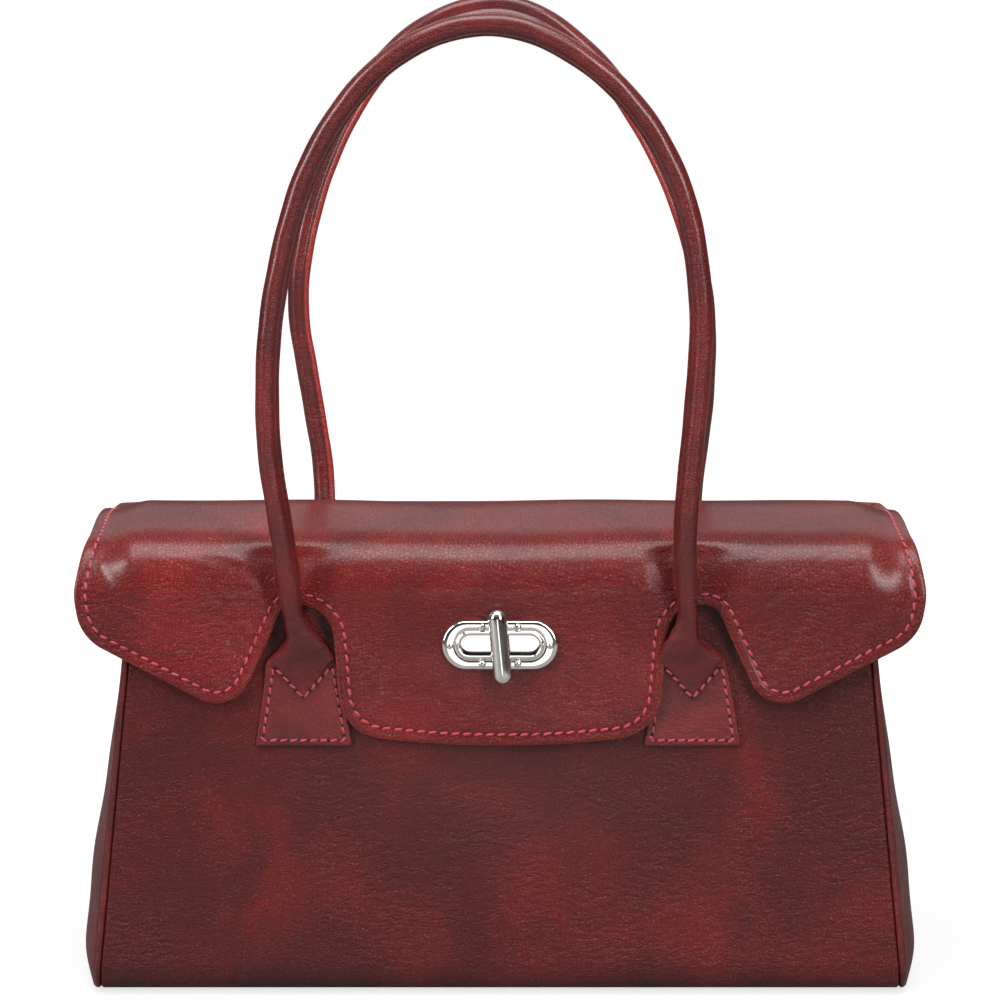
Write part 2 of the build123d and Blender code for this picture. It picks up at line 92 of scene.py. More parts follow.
def rounded_path(corners, radii, spacing, closed=False):
    """Even points along straight runs joined by tangent arcs.

    An arc leaves its two runs at radius x tan(half the turn) from their corner. Radii are given
    for every corner, and the two ends of an open path ignore theirs.
    """
    corners = np.array(corners, float)
    count = len(corners)
    line = []
    for i in range(count):
        here = corners[i]
        if not closed and i in (0, count - 1):
            line.append(here[None])
            continue
        back = corners[i - 1] - here
        ahead = corners[(i + 1) % count] - here
        back, ahead = back / np.linalg.norm(back), ahead / np.linalg.norm(ahead)
        half_turn = (np.pi - np.arccos(np.clip(back @ ahead, -1, 1))) / 2
        bisector = (back + ahead) / np.linalg.norm(back + ahead)
        centre = here + bisector * radii[i] / np.cos(half_turn)
        sweep = np.linspace(-half_turn, half_turn, 25)[:, None]
        across = ahead - bisector * (ahead @ bisector)
        across = across / np.linalg.norm(across)
        line.append(centre + radii[i] * (across * np.sin(sweep) - bisector * np.cos(sweep)))
    line = np.concatenate(line + ([line[0][:1]] if closed else []))
    steps = np.linalg.norm(np.diff(line, axis=0), axis=1)
    run = np.concatenate([[0.0], np.cumsum(steps)])
    places = np.linspace(0, run[-1], max(int(round(run[-1] / spacing)), 4) + 1)
    if closed:
        places = places[:-1]
    return np.stack([np.interp(places, run, line[:, k]) for k in range(line.shape[1])], axis=1)


def tangents(path, closed=False):
    """Unit directions along a path, each from the point before it to the point after it."""
    if closed:
        along = np.roll(path, -1, axis=0) - np.roll(path, 1, axis=0)
    else:
        along = np.gradient(path, axis=0)
    return along / np.linalg.norm(along, axis=1, keepdims=True)


def run_length(path):
    """Distance along a path from its first point to each point."""
    return np.concatenate([[0.0], np.cumsum(np.linalg.norm(np.diff(path, axis=0), axis=1))])


def grid_faces(rows, columns, start=0, round_rows=False, round_columns=False):
    """Corner numbers of the cells of a grid of points, which may close on itself either way."""
    i = np.arange(rows if round_rows else rows - 1)[:, None]
    j = np.arange(columns if round_columns else columns - 1)[None, :]
    below, beside = (i + 1) % rows, (j + 1) % columns
    cells = np.stack(
        [i * columns + j, i * columns + beside, below * columns + beside, below * columns + j], axis=-1
    )
    return cells.reshape(-1, 4) + start


def new_piece(name, points, faces, materials, material_numbers=None, **values):
    """Smooth-shaded mesh from points in millimetres.

    Points that coincide are merged, and all faces are turned outwards. Each named value becomes
    an attribute of the points.
    """
    mesh = bpy.data.meshes.new(name)
    points = np.asarray(points, float).reshape(-1, 3)
    mesh.from_pydata((points * MM).tolist(), [], [[int(k) for k in face] for face in faces])
    for key, value in values.items():
        attribute = mesh.attributes.new(key, "FLOAT", "POINT")
        attribute.data.foreach_set("value", np.asarray(value, np.float32).ravel())
    for material in materials:
        mesh.materials.append(material)
    if material_numbers is not None:
        mesh.polygons.foreach_set("material_index", np.asarray(material_numbers, np.int32))
    whole = bmesh.new()
    whole.from_mesh(mesh)
    bmesh.ops.remove_doubles(whole, verts=whole.verts, dist=2e-6)
    bmesh.ops.recalc_face_normals(whole, faces=whole.faces)
    whole.to_mesh(mesh)
    whole.free()
    mesh.shade_smooth()
    piece = bpy.data.objects.new(name, mesh)
    bpy.context.scene.collection.objects.link(piece)
    return piece


def shell(name, outer, inner, materials, outer_values):
    """Closed sheet of leather or cloth from two grids of points that meet at a narrow edge."""
    rows, columns = outer.shape[:2]
    count = rows * columns
    number = np.arange(count).reshape(rows, columns)
    rim = np.concatenate([number[0, :-1], number[:-1, -1], number[-1, :0:-1], number[:0:-1, 0]])
    ahead = np.roll(rim, -1)
    edge = np.stack([rim, ahead, ahead + count, rim + count], axis=-1)
    faces = np.concatenate([grid_faces(rows, columns), grid_faces(rows, columns, count), edge])
    points = np.concatenate([outer.reshape(-1, 3), inner.reshape(-1, 3)])
    values = {key: np.concatenate([v.ravel(), v.ravel()]) for key, v in outer_values.items()}
    return new_piece(name, points, faces, materials, **values)


def linear(hex_colour):
    """Linear colour of an sRGB hex value such as "7a2226"."""
    parts = [int(hex_colour[i : i + 2], 16) / 255 for i in (0, 2, 4)]
    return tuple(c / 12.92 if c <= 0.04045 else ((c + 0.055) / 1.055) ** 2.4 for c in parts) + (1.0,)


def add(tree, kind, settings=None, inputs=None, stops=()):
    """Adds a node, sets its properties, sets or links its inputs, and gives a ramp its stops."""
    made = tree.nodes.new(kind)
    for key, value in (settings or {}).items():
        setattr(made, key, value)
    for key, value in (inputs or {}).items():
        if isinstance(value, bpy.types.NodeSocket):
            tree.links.new(value, made.inputs[key])
        else:
            made.inputs[key].default_value = value
    for number, (place, colour) in enumerate(stops):
        elements = made.color_ramp.elements
        element = elements[number] if number < 2 else elements.new(place)
        element.position, element.color = place, linear(colour)
    return made


def empty_material(name):
    """A new material with only its Principled shader, and its node tree."""
    material = bpy.data.materials.new(name)
    material.use_nodes = True
    tree = material.node_tree
    tree.nodes.clear()
    shader = add(tree, "ShaderNodeBsdfPrincipled")
    add(tree, "ShaderNodeOutputMaterial", None, {"Surface": shader.outputs[0]})
    return material, tree, shader


def aniline_cowhide(
    name, stops, cloud=46.0, grain=1.5, roughness=0.4, gloss=0.35, relief=0.0003, edge="8e3425"
):
    """Drum-dyed, hand-shaded and waxed cowhide, with a deep soft shine that the grain breaks up.

    The dye lies in clouds of about cloud mm. The grain is cells of grain mm with painted shade in
    their valleys, and wrinkles about 5 mm long and 2 mm across lie over it in patches. The cut edge is
    painted.
    """
    drift_size, patch = 5.0, 38.0
    material, tree, shader = empty_material(name)
    place = add(tree, "ShaderNodeTexCoord").outputs["Object"]
    clouds = add(
        tree, "ShaderNodeTexNoise", None,
        {"Vector": place, "Scale": 1000 / cloud, "Detail": 5.0, "Roughness": 0.58, "Distortion": 0.5},
    )
    dye = add(tree, "ShaderNodeValToRGB", None, {"Fac": clouds.outputs[0]}, stops).outputs[0]
    drift = add(
        tree, "ShaderNodeTexNoise", None, {"Vector": place, "Scale": 1000 / drift_size, "Detail": 3.0}
    )
    wander = add(
        tree, "ShaderNodeVectorMath", {"operation": "MULTIPLY_ADD"},
        {0: drift.outputs[1], 1: (0.0022, 0.0022, 0.0022), 2: place},
    )
    pebbles = add(
        tree, "ShaderNodeTexVoronoi", {"feature": "DISTANCE_TO_EDGE"},
        {"Vector": wander.outputs[0], "Scale": 1000 / grain},
    )
    valley = add(
        tree, "ShaderNodeMapRange", {"interpolation_type": "SMOOTHSTEP"},
        {0: pebbles.outputs["Distance"], 1: 0.0, 2: 0.16, 3: 0.0, 4: 1.0},
    )
    drawn = add(
        tree, "ShaderNodeMapping", None,
        {"Vector": wander.outputs[0], "Rotation": (0.0, 0.6, 0.0), "Scale": (190.0, 230.0, 470.0)},
    )
    wrinkles = add(
        tree, "ShaderNodeTexNoise", None, {"Vector": drawn.outputs[0], "Scale": 1.0, "Detail": 4.0}
    )
    furrow = add(
        tree, "ShaderNodeMapRange", {"interpolation_type": "SMOOTHSTEP"},
        {0: wrinkles.outputs[0], 1: 0.38, 2: 0.58, 3: 0.0, 4: 1.0},
    )
    patches = add(tree, "ShaderNodeTexNoise", None, {"Vector": place, "Scale": 1000 / patch, "Detail": 2.0})
    where = add(
        tree, "ShaderNodeMapRange", {"interpolation_type": "SMOOTHSTEP"},
        {0: patches.outputs[0], 1: 0.38, 2: 0.62, 3: 0.25, 4: 1.0},
    )
    furrows = add(
        tree, "ShaderNodeMath", {"operation": "MULTIPLY"}, {0: furrow.outputs[0], 1: where.outputs[0]}
    )
    height = add(
        tree, "ShaderNodeMath", {"operation": "MULTIPLY_ADD"},
        {0: furrows.outputs[0], 1: 1.3, 2: valley.outputs[0]},
    )
    bump = add(
        tree, "ShaderNodeBump", None,
        {"Height": height.outputs[0], "Strength": 1.0, "Distance": relief},
    )
    # Painted shade: the dye is darkened to 80 % in the grain's valleys and lifted to 103 % on the pebbles'
    # tops.
    valley_painted_shade = add(
        tree, "ShaderNodeMapRange", None,
        {0: valley.outputs[0], 1: 0.0, 2: 1.0, 3: 0.80, 4: 1.03},
    )
    shaded = add(
        tree, "ShaderNodeVectorMath", {"operation": "SCALE"},
        {0: dye, "Scale": valley_painted_shade.outputs[0]},
    )
    paint = add(tree, "ShaderNodeAttribute", {"attribute_name": "edge_paint"})
    colour = add(
        tree, "ShaderNodeMix", {"data_type": "RGBA"},
        {0: paint.outputs["Fac"], 6: shaded.outputs[0], 7: linear(edge)},
    )
    worn = add(
        tree, "ShaderNodeMapRange", None,
        {0: clouds.outputs[0], 1: 0.3, 2: 0.7, 3: roughness + 0.08, 4: roughness - 0.06},
    )
    for key, value in {
        "Base Color": colour.outputs[2],
        "Roughness": worn.outputs[0],
        "Normal": bump.outputs[0],
    }.items():
        tree.links.new(value, shader.inputs[key])
    shader.inputs["Specular IOR Level"].default_value = 0.2
    shader.inputs["Coat Weight"].default_value = gloss
    shader.inputs["Coat Roughness"].default_value = 0.25
    return material


body_leather = aniline_cowhide(
    "burgundy_aniline_cowhide_body",
    [(0.30, "44100f"), (0.47, "4e1211"), (0.58, "5c1513"), (0.74, "6e1a17")],
    cloud=58.0,
)

swell_top = mouth_height - 82.0   # the panel is flat above this, where the tabs and the lock sit
swell_height, ripple_height = 1.3, 0.17
rng = np.random.default_rng(7)
ripples = rng.uniform(-1, 1, (14, 5))[:, :4]


def panel_swell(x, z, back):
    """How far the panel stands out from flat: a low dome, plus fourteen long ripples.

    The dome is sin^2 up the panel times cos across it, and each ripple is a cosine with its own
    direction and phase. All fade out towards the seams, the base and the flat upper part.
    """
    fade = np.sin(np.pi * np.clip(z / swell_top, 0, 1)) ** 1.5
    fade = fade * smooth_step((seam_x(z) - np.abs(x)) / 25.0)
    height = swell_height * np.cos(0.5 * np.pi * x / base_half_width)
    for i, (a, b, phase, size) in enumerate(ripples):
        wave = np.cos(0.055 * a * x + 0.075 * b * z + 6.3 * phase + 2.0 * back * i)
        height = height + ripple_height * size * wave
    return fade * height


wrap = rounded_path(
    [
        (-half_depth(mouth_height), mouth_height),
        (-base_half_depth, 0.0),
        (base_half_depth, 0.0),
        (half_depth(mouth_height), mouth_height),
    ],
    [0, base_roll, base_roll, 0],
    2.0,
)
wrap_along = tangents(wrap)
wrap_out = np.stack([wrap_along[:, 1], -wrap_along[:, 0]], axis=1)


def roll_drop(distance, radius):
    """Fall of a rounded edge: radius less the height of a quarter circle at that distance."""
    inside = np.clip(radius - distance, 0, radius)
    return radius - np.sqrt(radius**2 - inside**2)


from_seam = np.array([0.0, 0.2, 0.5, 0.9, 1.4, 2.0, 3.0])   # close columns on the turned edge
middle_from_seam = 4.2
middle = np.linspace(-1, 1, 135)
reach_x = seam_x(wrap[:, 1])[:, None]
x_middle = middle[None, :] * (reach_x - middle_from_seam)
x_left = -reach_x + from_seam[None, :]
panel_x = np.concatenate([x_left, x_middle, -x_left[:, ::-1]], axis=1)
wrap_run = run_length(wrap)
end_distance = np.minimum(wrap_run, wrap_run[-1] - wrap_run)[:, None]
drop = roll_drop(reach_x - np.abs(panel_x), turned_edge) + roll_drop(end_distance, 0.8)
front_or_back = (wrap[:, :1] > 0).astype(float)
swell = panel_swell(panel_x, np.repeat(wrap[:, 1:], panel_x.shape[1], axis=1), front_or_back)
swell = swell * smooth_step((np.abs(wrap_out[:, :1]) - 0.5) / 0.4)


def on_wrap(offset):
    """Points of the wrap moved out along its normal by offset at each point."""
    y = wrap[:, :1] + wrap_out[:, :1] * offset
    z = wrap[:, 1:] + wrap_out[:, 1:] * offset
    return np.stack([panel_x, y, z], axis=-1)


body = shell(
    "body_wrap",
    on_wrap(swell - drop),
    on_wrap(np.minimum(swell - hide, -hide + 1.2)),
    [body_leather],
    {"edge_paint": np.zeros_like(panel_x)},
)
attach(body, "root")
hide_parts("body_panel")

# ---------------------------------------------------------------- gussets
# Each end is a tapered panel of the same hide, sewn in with its edge turned towards the piping.
# It stands out like a shallow barrel low down, and draws in along the middle towards the mouth.
piping_radius = 1.3
seam_gap = 0.12
gusset_inset = 0.5
gusset_edge = 1.4            # radius of the turned edge
barrel_height, barrel_lost = 9.2, 0.72   # how far it stands out, and the share lost up to the mouth
drawn_depth, fold_height = 1.6, 0.35
gusset_offset = 2 * (piping_radius + seam_gap)
gusset_leather = aniline_cowhide(
    "burgundy_aniline_cowhide_gusset",
    [(0.30, "48110f"), (0.46, "541412"), (0.58, "5f1614"), (0.72, "6e1c19")],
    cloud=38.0,
    gloss=0.1,
)
outline = rounded_path(
    [(0.0, gusset_inset), (half_depth(0.0, -gusset_inset), gusset_inset),
     (half_depth(mouth_height, -gusset_inset), mouth_height)],
    [0, base_roll - gusset_inset, 0],
    1.7,
)
outline = outline[outline[:, 0] >= base_half_depth - base_roll - 1.0]
outline_y, outline_z = outline[:, :1], outline[:, 1:]
across = np.linspace(-1, 1, 61)
across = np.sign(across) * (1 - (1 - np.abs(across)) ** 1.35)
gusset_y = outline_y * across[None, :]
gusset_z = np.repeat(outline_z, len(across), axis=1)
barrel = barrel_height * (1 - np.exp(-(gusset_z + 1) / 4.5))
barrel = barrel * (1 - barrel_lost * smooth_step((gusset_z - 30) / 114))
swell_out = barrel * (1 - across[None, :] ** 2)
draw_in = drawn_depth * np.exp(-((gusset_y / 9.0) ** 2)) * smooth_step((gusset_z - 70) / 90)
folds = fold_height * np.sin(gusset_z / 7.5 + 1.3 * np.cos(gusset_y / 14)) * (1 - across[None, :] ** 2)
edge_distance = np.minimum(outline_y - np.abs(gusset_y), gusset_z - gusset_inset)
edge_distance = np.minimum(edge_distance, mouth_height - gusset_z)
gusset_outer = seam_x(gusset_z) + gusset_offset + swell_out - draw_in + folds
gusset_outer = gusset_outer - roll_drop(edge_distance, gusset_edge)
gusset_inner = seam_x(gusset_z) + gusset_offset + swell_out - draw_in + folds - hide
for end, side in (("left", -1), ("right", 1)):
    gusset = shell(
        f"gusset_{end}_soft",
        np.stack([side * gusset_outer, gusset_y, gusset_z], axis=-1),
        np.stack([side * gusset_inner, gusset_y, gusset_z], axis=-1),
        [gusset_leather],
        {"edge_paint": np.zeros_like(gusset_y)},
    )
    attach(gusset, "root")
    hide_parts(f"gusset_{end}")

# ---------------------------------------------------------------- piping
# A thin skived strip of the same leather is folded round a cord and sewn into each end seam.
# It runs down the front, under the base and up the back, and shows as a fine bright bead.


def carried(path, section, reference, round_path=False):
    """A closed section carried along a path.

    Its first axis lies along the path's direction crossed with reference, and its second is at
    right angles to both. The section may be one loop or one loop for each point of the path.
    """
    forward = tangents(path, round_path)
    first = np.cross(forward, np.broadcast_to(np.asarray(reference, float), path.shape))
    first = first / np.linalg.norm(first, axis=1, keepdims=True)
    second = np.cross(first, forward)
    section = np.broadcast_to(section, (len(path),) + section.shape[-2:])
    return path[:, None] + section[..., :1] * first[:, None] + section[..., 1:] * second[:, None]


def bar(name, points, materials, **values):
    """Closed bar from a grid of loops, each end drawn together to its own middle."""
    count, around = points.shape[:2]
    ends = np.repeat(points[[0, -1]].mean(axis=1)[:, None], around, axis=1)
    points = np.concatenate([ends[:1], points, ends[1:]])
    faces = grid_faces(count + 2, around, round_columns=True)
    values = {k: np.concatenate([v[:1], v, v[-1:]]) for k, v in values.items()}
    return new_piece(name, points, faces, materials, **values)


piping_leather = aniline_cowhide(
    "burgundy_skived_piping",
    [(0.30, "471412"), (0.45, "561815"), (0.56, "611b18"), (0.68, "70211c")],
    cloud=26.0,
    grain=1.1,
    roughness=0.36,
    gloss=0.5,
)
piping_drop = 3.0            # ends below the mouth
piping_end = mouth_height - piping_drop
piping_path = rounded_path(
    [(-half_depth(piping_end, -piping_radius), piping_end),
     (-half_depth(0, -piping_radius), piping_radius),
     (half_depth(0, -piping_radius), piping_radius),
     (half_depth(piping_end, -piping_radius), piping_end)],
    [0, base_roll - piping_radius, base_roll - piping_radius, 0],
    1.6,
)
turn = np.linspace(0, 2 * np.pi, 18, endpoint=False)
circle = np.stack([np.cos(turn), np.sin(turn)], axis=1)
piping_run = run_length(piping_path)
to_end = np.minimum(piping_run, piping_run[-1] - piping_run)
thickness = np.sqrt(np.clip(1 - (1 - np.clip(to_end / piping_radius, 0.12, 1)) ** 2, 0, 1))
puckers = 1 + 0.025 * np.sin(piping_run * 1.3)
piping_loops = circle[None] * (piping_radius * thickness * puckers)[:, None, None]
for end, side in (("left", -1), ("right", 1)):
    x = side * (seam_x(piping_path[:, 1]) + seam_gap + piping_radius)
    route = np.column_stack([x, piping_path])
    loops = carried(route, piping_loops, (1, 0, 0))
    piping = bar(f"piping_{end}_bead", loops, [piping_leather], edge_paint=np.zeros(loops.shape[:2]))
    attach(piping, "root")
    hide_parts(f"piping_{end}")

# ---------------------------------------------------------------- inside of the body
# A cotton drill lining hangs inside the body, below a leather facing sewn round the mouth.
# The lining is cut full, so it lies in soft upright folds.
lining_inset = 5.4           # panel's face to the lining
lining_cloth = 0.8
lining_side_gap = 1.0
lining_top = box_mm("lining")[1][2]
facing_low = box_mm("mouth_facing")[0][2]
facing_leather = 1.5


def cotton_drill(name, light, dark, rib=0.9):
    """Piece-dyed cotton twill: matt diagonal ribs with slight shade changes.

    The wave texture repeats every 2 pi / 20 of a unit, so the ribs come 2 pi times rib mm apart,
    which is coarser than real twill and lets them show.
    """
    material, tree, shader = empty_material(name)
    place = add(tree, "ShaderNodeTexCoord").outputs["Object"]
    turned = add(tree, "ShaderNodeMapping", None, {"Vector": place, "Rotation": (0.6, 0.7, 0.5)})
    ribs = add(
        tree, "ShaderNodeTexWave", {"bands_direction": "X"},
        {"Vector": turned.outputs[0], "Scale": 1000 / rib / 20, "Distortion": 0.6, "Detail": 2.0},
    )
    shade = add(tree, "ShaderNodeTexNoise", None, {"Vector": place, "Scale": 1000 / 25, "Detail": 3.0})
    mixed = add(
        tree, "ShaderNodeMath", {"operation": "MULTIPLY_ADD"},
        {0: ribs.outputs[1], 1: 0.35, 2: shade.outputs[0]},
    )
    stops = [(0.4, dark), (0.9, light)]
    colour = add(tree, "ShaderNodeValToRGB", None, {"Fac": mixed.outputs[0]}, stops)
    tree.links.new(colour.outputs[0], shader.inputs["Base Color"])
    bump = add(
        tree, "ShaderNodeBump", None, {"Height": ribs.outputs[1], "Strength": 0.5, "Distance": 0.0001}
    )
    tree.links.new(bump.outputs[0], shader.inputs["Normal"])
    shader.inputs["Roughness"].default_value = 0.9
    shader.inputs["Specular IOR Level"].default_value = 0.2
    return material


def rounded_rectangle(wide, deep, corner, half_count=110):
    """Loop of a rounded rectangle, the half with y above 0 first and then the other half."""
    line = rounded_path([(wide, 0), (wide, deep), (-wide, deep), (-wide, 0)], [0, corner, corner, 0], 1.0)
    run = run_length(line)
    places = np.linspace(0, run[-1], half_count + 1)
    half = np.stack([np.interp(places, run, line[:, k]) for k in (0, 1)], axis=1)
    return np.concatenate([half, half[-2:0:-1] * (1, -1)])


def tub_loop(inset, side_inset, z, shrink=0.0):
    """Level loop inside the body at height z, inset from the panel and the end seams, then shrunk.

    Low down it draws in along a quarter circle, as the panel does where it turns under the base.
    """
    low = base_roll - inset
    rise = np.clip(z - inset, 0.0, low)
    deep = half_depth(z, -inset) - (low - np.sqrt(low**2 - (low - rise) ** 2)) - shrink
    wide = seam_x(z) - side_inset - shrink
    corner = max(min(6.0, deep * 0.98), 0.01)
    loop = rounded_rectangle(wide, max(deep, 0.02), corner)
    if deep < 0.05:
        loop[:, 1] = 0.0
    return np.column_stack([loop, np.full(len(loop), z)])


def lining_wall(cloth, heights):
    """Loops up one face of the lining, from the fold of its floor to its top edge."""
    loops = np.array([tub_loop(lining_inset + cloth, lining_side_gap + cloth, z) for z in heights])
    inward = tangents(loops[len(loops) // 2, :, :2], closed=True)
    inward = np.stack([-inward[:, 1], inward[:, 0]], axis=1)
    run = np.arange(loops.shape[1]) * 4.0
    sway = 0.5 + 0.5 * np.sin(run / 5.2 + 1.7 * np.sin(run / 37.0))
    fade = smooth_step((loops[..., 2] - 25) / 60) * smooth_step((lining_top - loops[..., 2]) / 30)
    loops[..., :2] += (1.5 * sway * fade)[..., None] * inward[None]
    return loops


def lining_floor(cloth, shares):
    """Loops across the lining's floor, each shrunk by a share of the floor's half depth."""
    inset = lining_inset + cloth
    deep = half_depth(inset, -inset) - (base_roll - inset)
    rows = [tub_loop(inset, lining_side_gap + cloth, inset, deep * share) for share in shares]
    return np.array(rows)


drill = cotton_drill("claret_cotton_drill", "6a2a30", "3c1418")
up_heights = lining_inset + lining_cloth + (lining_top - lining_inset - lining_cloth) * np.linspace(
    0, 1, 60
) ** 1.4
down_heights = lining_inset + (lining_top - lining_inset) * np.linspace(1, 0, 50) ** 1.4
shares = np.linspace(1, 0.04, 18)
lining_points = np.concatenate(
    [lining_floor(lining_cloth, shares), lining_wall(lining_cloth, up_heights),
     lining_wall(0.0, down_heights), lining_floor(0.0, shares[::-1])]
)
drill_lining = new_piece(
    "drill_lining",
    lining_points,
    grid_faces(*lining_points.shape[:2], round_columns=True),
    [drill],
)
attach(drill_lining, "root")
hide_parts("lining")

facing_profile = rounded_path(
    [(lining_inset + facing_leather, facing_low), (lining_inset + facing_leather, mouth_height),
     (hide + seam_gap, mouth_height), (hide + seam_gap, mouth_height - 1.6),
     (lining_inset, mouth_height - 1.6), (lining_inset, facing_low)],
    [0.6, 1.2, 0.7, 0.7, 0.3, 0.6],
    1.0,
    closed=True,
)
facing_side = np.interp(
    facing_profile[:, 0], [hide + seam_gap, lining_inset, lining_inset + facing_leather], [0.0, 1.0, 2.5]
)
facing_points = np.array(
    [tub_loop(inset, side, z) for (inset, z), side in zip(facing_profile, facing_side)]
)
facing = new_piece(
    "facing_band",
    facing_points,
    grid_faces(*facing_points.shape[:2], round_rows=True, round_columns=True),
    [body_leather],
    edge_paint=np.zeros(facing_points.shape[:2]),
)
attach(facing, "root")
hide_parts("mouth_facing")

# ---------------------------------------------------------------- flap
# The flap is one hide, sewn to the back panel, folded over the mouth and down the front.
# Its edge is rounded, painted and topstitched, and it is cut away round the two handles.
flap_rise = 6.0
flap_top = mouth_height + flap_rise
flap_half_width = box_mm("flap_leather")[1][0]
strip_low = box_mm("flap_back_strip")[0][2]
flap_thickness = 2.0
front_stand = 5.4            # flap's face in front of the panel's
back_stand = hide + 0.1      # strip's face behind the panel's
back_fold = 8.0              # the hide domes over the mouth, then rolls down the front softly
dome_y, dome_rise, dome_radius = 6.0, 8.0, 120.0
front_fold, front_full, fold_rise = 25.0, 6.8, 0.5
tuck_drop, tuck_radius = 42.0, 90.0   # below the flap's top it lies flat again
flap_lowest = box_mm("flap_leather")[0][2]
profile_past = 6.0           # the profile runs on below the flap's lowest point
profile = rounded_path(
    [(half_depth(strip_low, back_stand), strip_low), (half_depth(flap_top, back_stand), flap_top),
     (dome_y, flap_top + dome_rise),
     (-half_depth(flap_top, front_stand + front_full), flap_top + fold_rise),
     (-half_depth(flap_top - tuck_drop, front_stand), flap_top - tuck_drop),
     (-half_depth(flap_lowest - profile_past, front_stand), flap_lowest - profile_past)],
    [0, back_fold, dome_radius, front_fold, tuck_radius, 0],
    0.5,
)
profile_run = run_length(profile)
profile_along = tangents(profile)
profile_out = np.stack([profile_along[:, 1], -profile_along[:, 0]], axis=1)
front_part = (profile_along[:, 1] < -0.3) & (profile[:, 0] < 0)
top_start = profile_run[np.argmax(profile_along[:, 1] < 0.3)]


def front_s(z):
    """Distance along the flap's profile to height z on its front."""
    return np.interp(-np.asarray(z, float), -profile[front_part, 1], profile_run[front_part])


def on_profile(x, s, out):
    """Point at x across and s along the flap's profile, moved out from its face."""
    y, z = (np.interp(s, profile_run, profile[:, k]) for k in (0, 1))
    out_y, out_z = (np.interp(s, profile_run, profile_out[:, k]) for k in (0, 1))
    return np.stack([x, y + out_y * out, z + out_z * out], axis=-1)


strip_half = seam_x(mouth_height) - 0.4
lobe_low_x = 111.4
tongue_half = 66.0
half_outline = [                 # x, distance along the profile, radius
    (seam_x(strip_low) - 1.2, 0.0, 4.0),
    (strip_half, top_start - 5.0, 2.0),
    (flap_half_width - 7.5, top_start - 3.5, 3.5),
    (flap_half_width - 2.6, top_start + 7.0, 12.0),
    (flap_half_width - 2.2, top_start + 75.0, 60.0),
    (flap_half_width + 2.6, front_s(flap_top - 22.0), 34.0),
    (flap_half_width - 0.4, front_s(flap_top - 40.0), 20.0),
    (lobe_low_x, front_s(flap_top - 73.1), 15.0),
    (89.8, front_s(flap_top - 26.0), 7.0),
    (70.5, front_s(flap_top - 26.5), 15.0),
    (tongue_half, front_s(flap_top - 81.0), 20.0),
]
tongue_low_s = front_s(flap_top - 85.4)
tongue_share = np.linspace(-0.42, 0.42, 4)
tongue_corner_s = half_outline[-1][1]
tongue_drop = tongue_low_s - tongue_corner_s
tongue_radius = 300.0
tongue = [
    (tongue_half * t, tongue_corner_s + tongue_drop * (1 - t * t), tongue_radius) for t in tongue_share
]
flap_corners = (
    [(-x, s, r) for x, s, r in half_outline] + tongue + [(x, s, r) for x, s, r in half_outline[::-1]]
)
flap_outline = rounded_path(
    [c[:2] for c in flap_corners], [c[2] for c in flap_corners], 1.5, closed=True
)

slot_size = (35.0, 10.4)
lock_rise = mouth_height - 37.0   # lock's middle above the base


def obround(length, height, count=64):
    """Loop of a slot: two half circles of the slot's height joined by straight sides."""
    r = height / 2
    return rounded_path(
        [(length / 2, -r), (length / 2, r), (-length / 2, r), (-length / 2, -r)],
        [r * 0.999] * 4,
        (2 * (length - height) + np.pi * height) / count,
        closed=True,
    )


slot_hole = obround(*slot_size) + (0.0, front_s(lock_rise))


def inside(points, loop):
    """True where a point lies inside a closed loop, by counting the edges to its right."""
    x, y = points[:, :1], points[:, 1:]
    x0, y0 = loop[:, 0], loop[:, 1]
    x1, y1 = np.roll(x0, -1), np.roll(y0, -1)
    level = (y0 > y) != (y1 > y)
    cross = x0 + (y - y0) * (x1 - x0) / np.where(y1 == y0, 1e-9, y1 - y0)
    return (np.sum(level & (x < cross), axis=1) % 2) == 1


def distance_to(points, loop):
    """Distance from each point to the nearest point of a loop, in blocks to spare memory."""
    blocks = [points[i : i + 4000] for i in range(0, len(points), 4000)]
    return np.concatenate(
        [np.sqrt(((b[:, None] - loop[None]) ** 2).sum(axis=2).min(axis=1)) for b in blocks]
    )


def into_leather(loop, hole):
    """Unit directions from a loop into the leather beside it."""
    along = tangents(loop, closed=True)
    area = np.sum(loop[:, 0] * np.roll(loop[:, 1], -1) - np.roll(loop[:, 0], -1) * loop[:, 1])
    turn = np.sign(area) * (-1 if hole else 1)
    return turn * np.stack([-along[:, 1], along[:, 0]], axis=1)


def fill(loops, spacing):
    """Triangles between a loop and the holes in it, over a honeycomb of points."""
    low, high = loops[0].min(axis=0), loops[0].max(axis=0)
    xs = np.arange(low[0], high[0], spacing)
    ys = np.arange(low[1], high[1], spacing * 0.866)
    grid = np.stack(np.meshgrid(xs, ys), axis=-1)
    grid[1::2, :, 0] += spacing / 2
    grid = grid.reshape(-1, 2)
    keep = inside(grid, loops[0])
    for hole in loops[1:]:
        keep &= ~inside(grid, hole)
    grid = grid[keep]
    grid = grid[distance_to(grid, np.concatenate(loops)) > 0.62 * spacing]
    points = np.concatenate(loops + [grid])
    edges, start = [], 0
    for loop in loops:
        number = start + np.arange(len(loop))
        edges += np.stack([number, np.roll(number, -1)], axis=1).tolist()
        start += len(loop)
    found = delaunay_2d_cdt([Vector(p) for p in points.tolist()], edges, [], 1, 1e-6)
    made, triangles = np.array([tuple(v) for v in found[0]]), np.array(found[2])
    middle = made[triangles].mean(axis=1)
    for hole in loops[1:]:
        clear = ~inside(middle, hole)
        triangles, middle = triangles[clear], middle[clear]
    return made, triangles


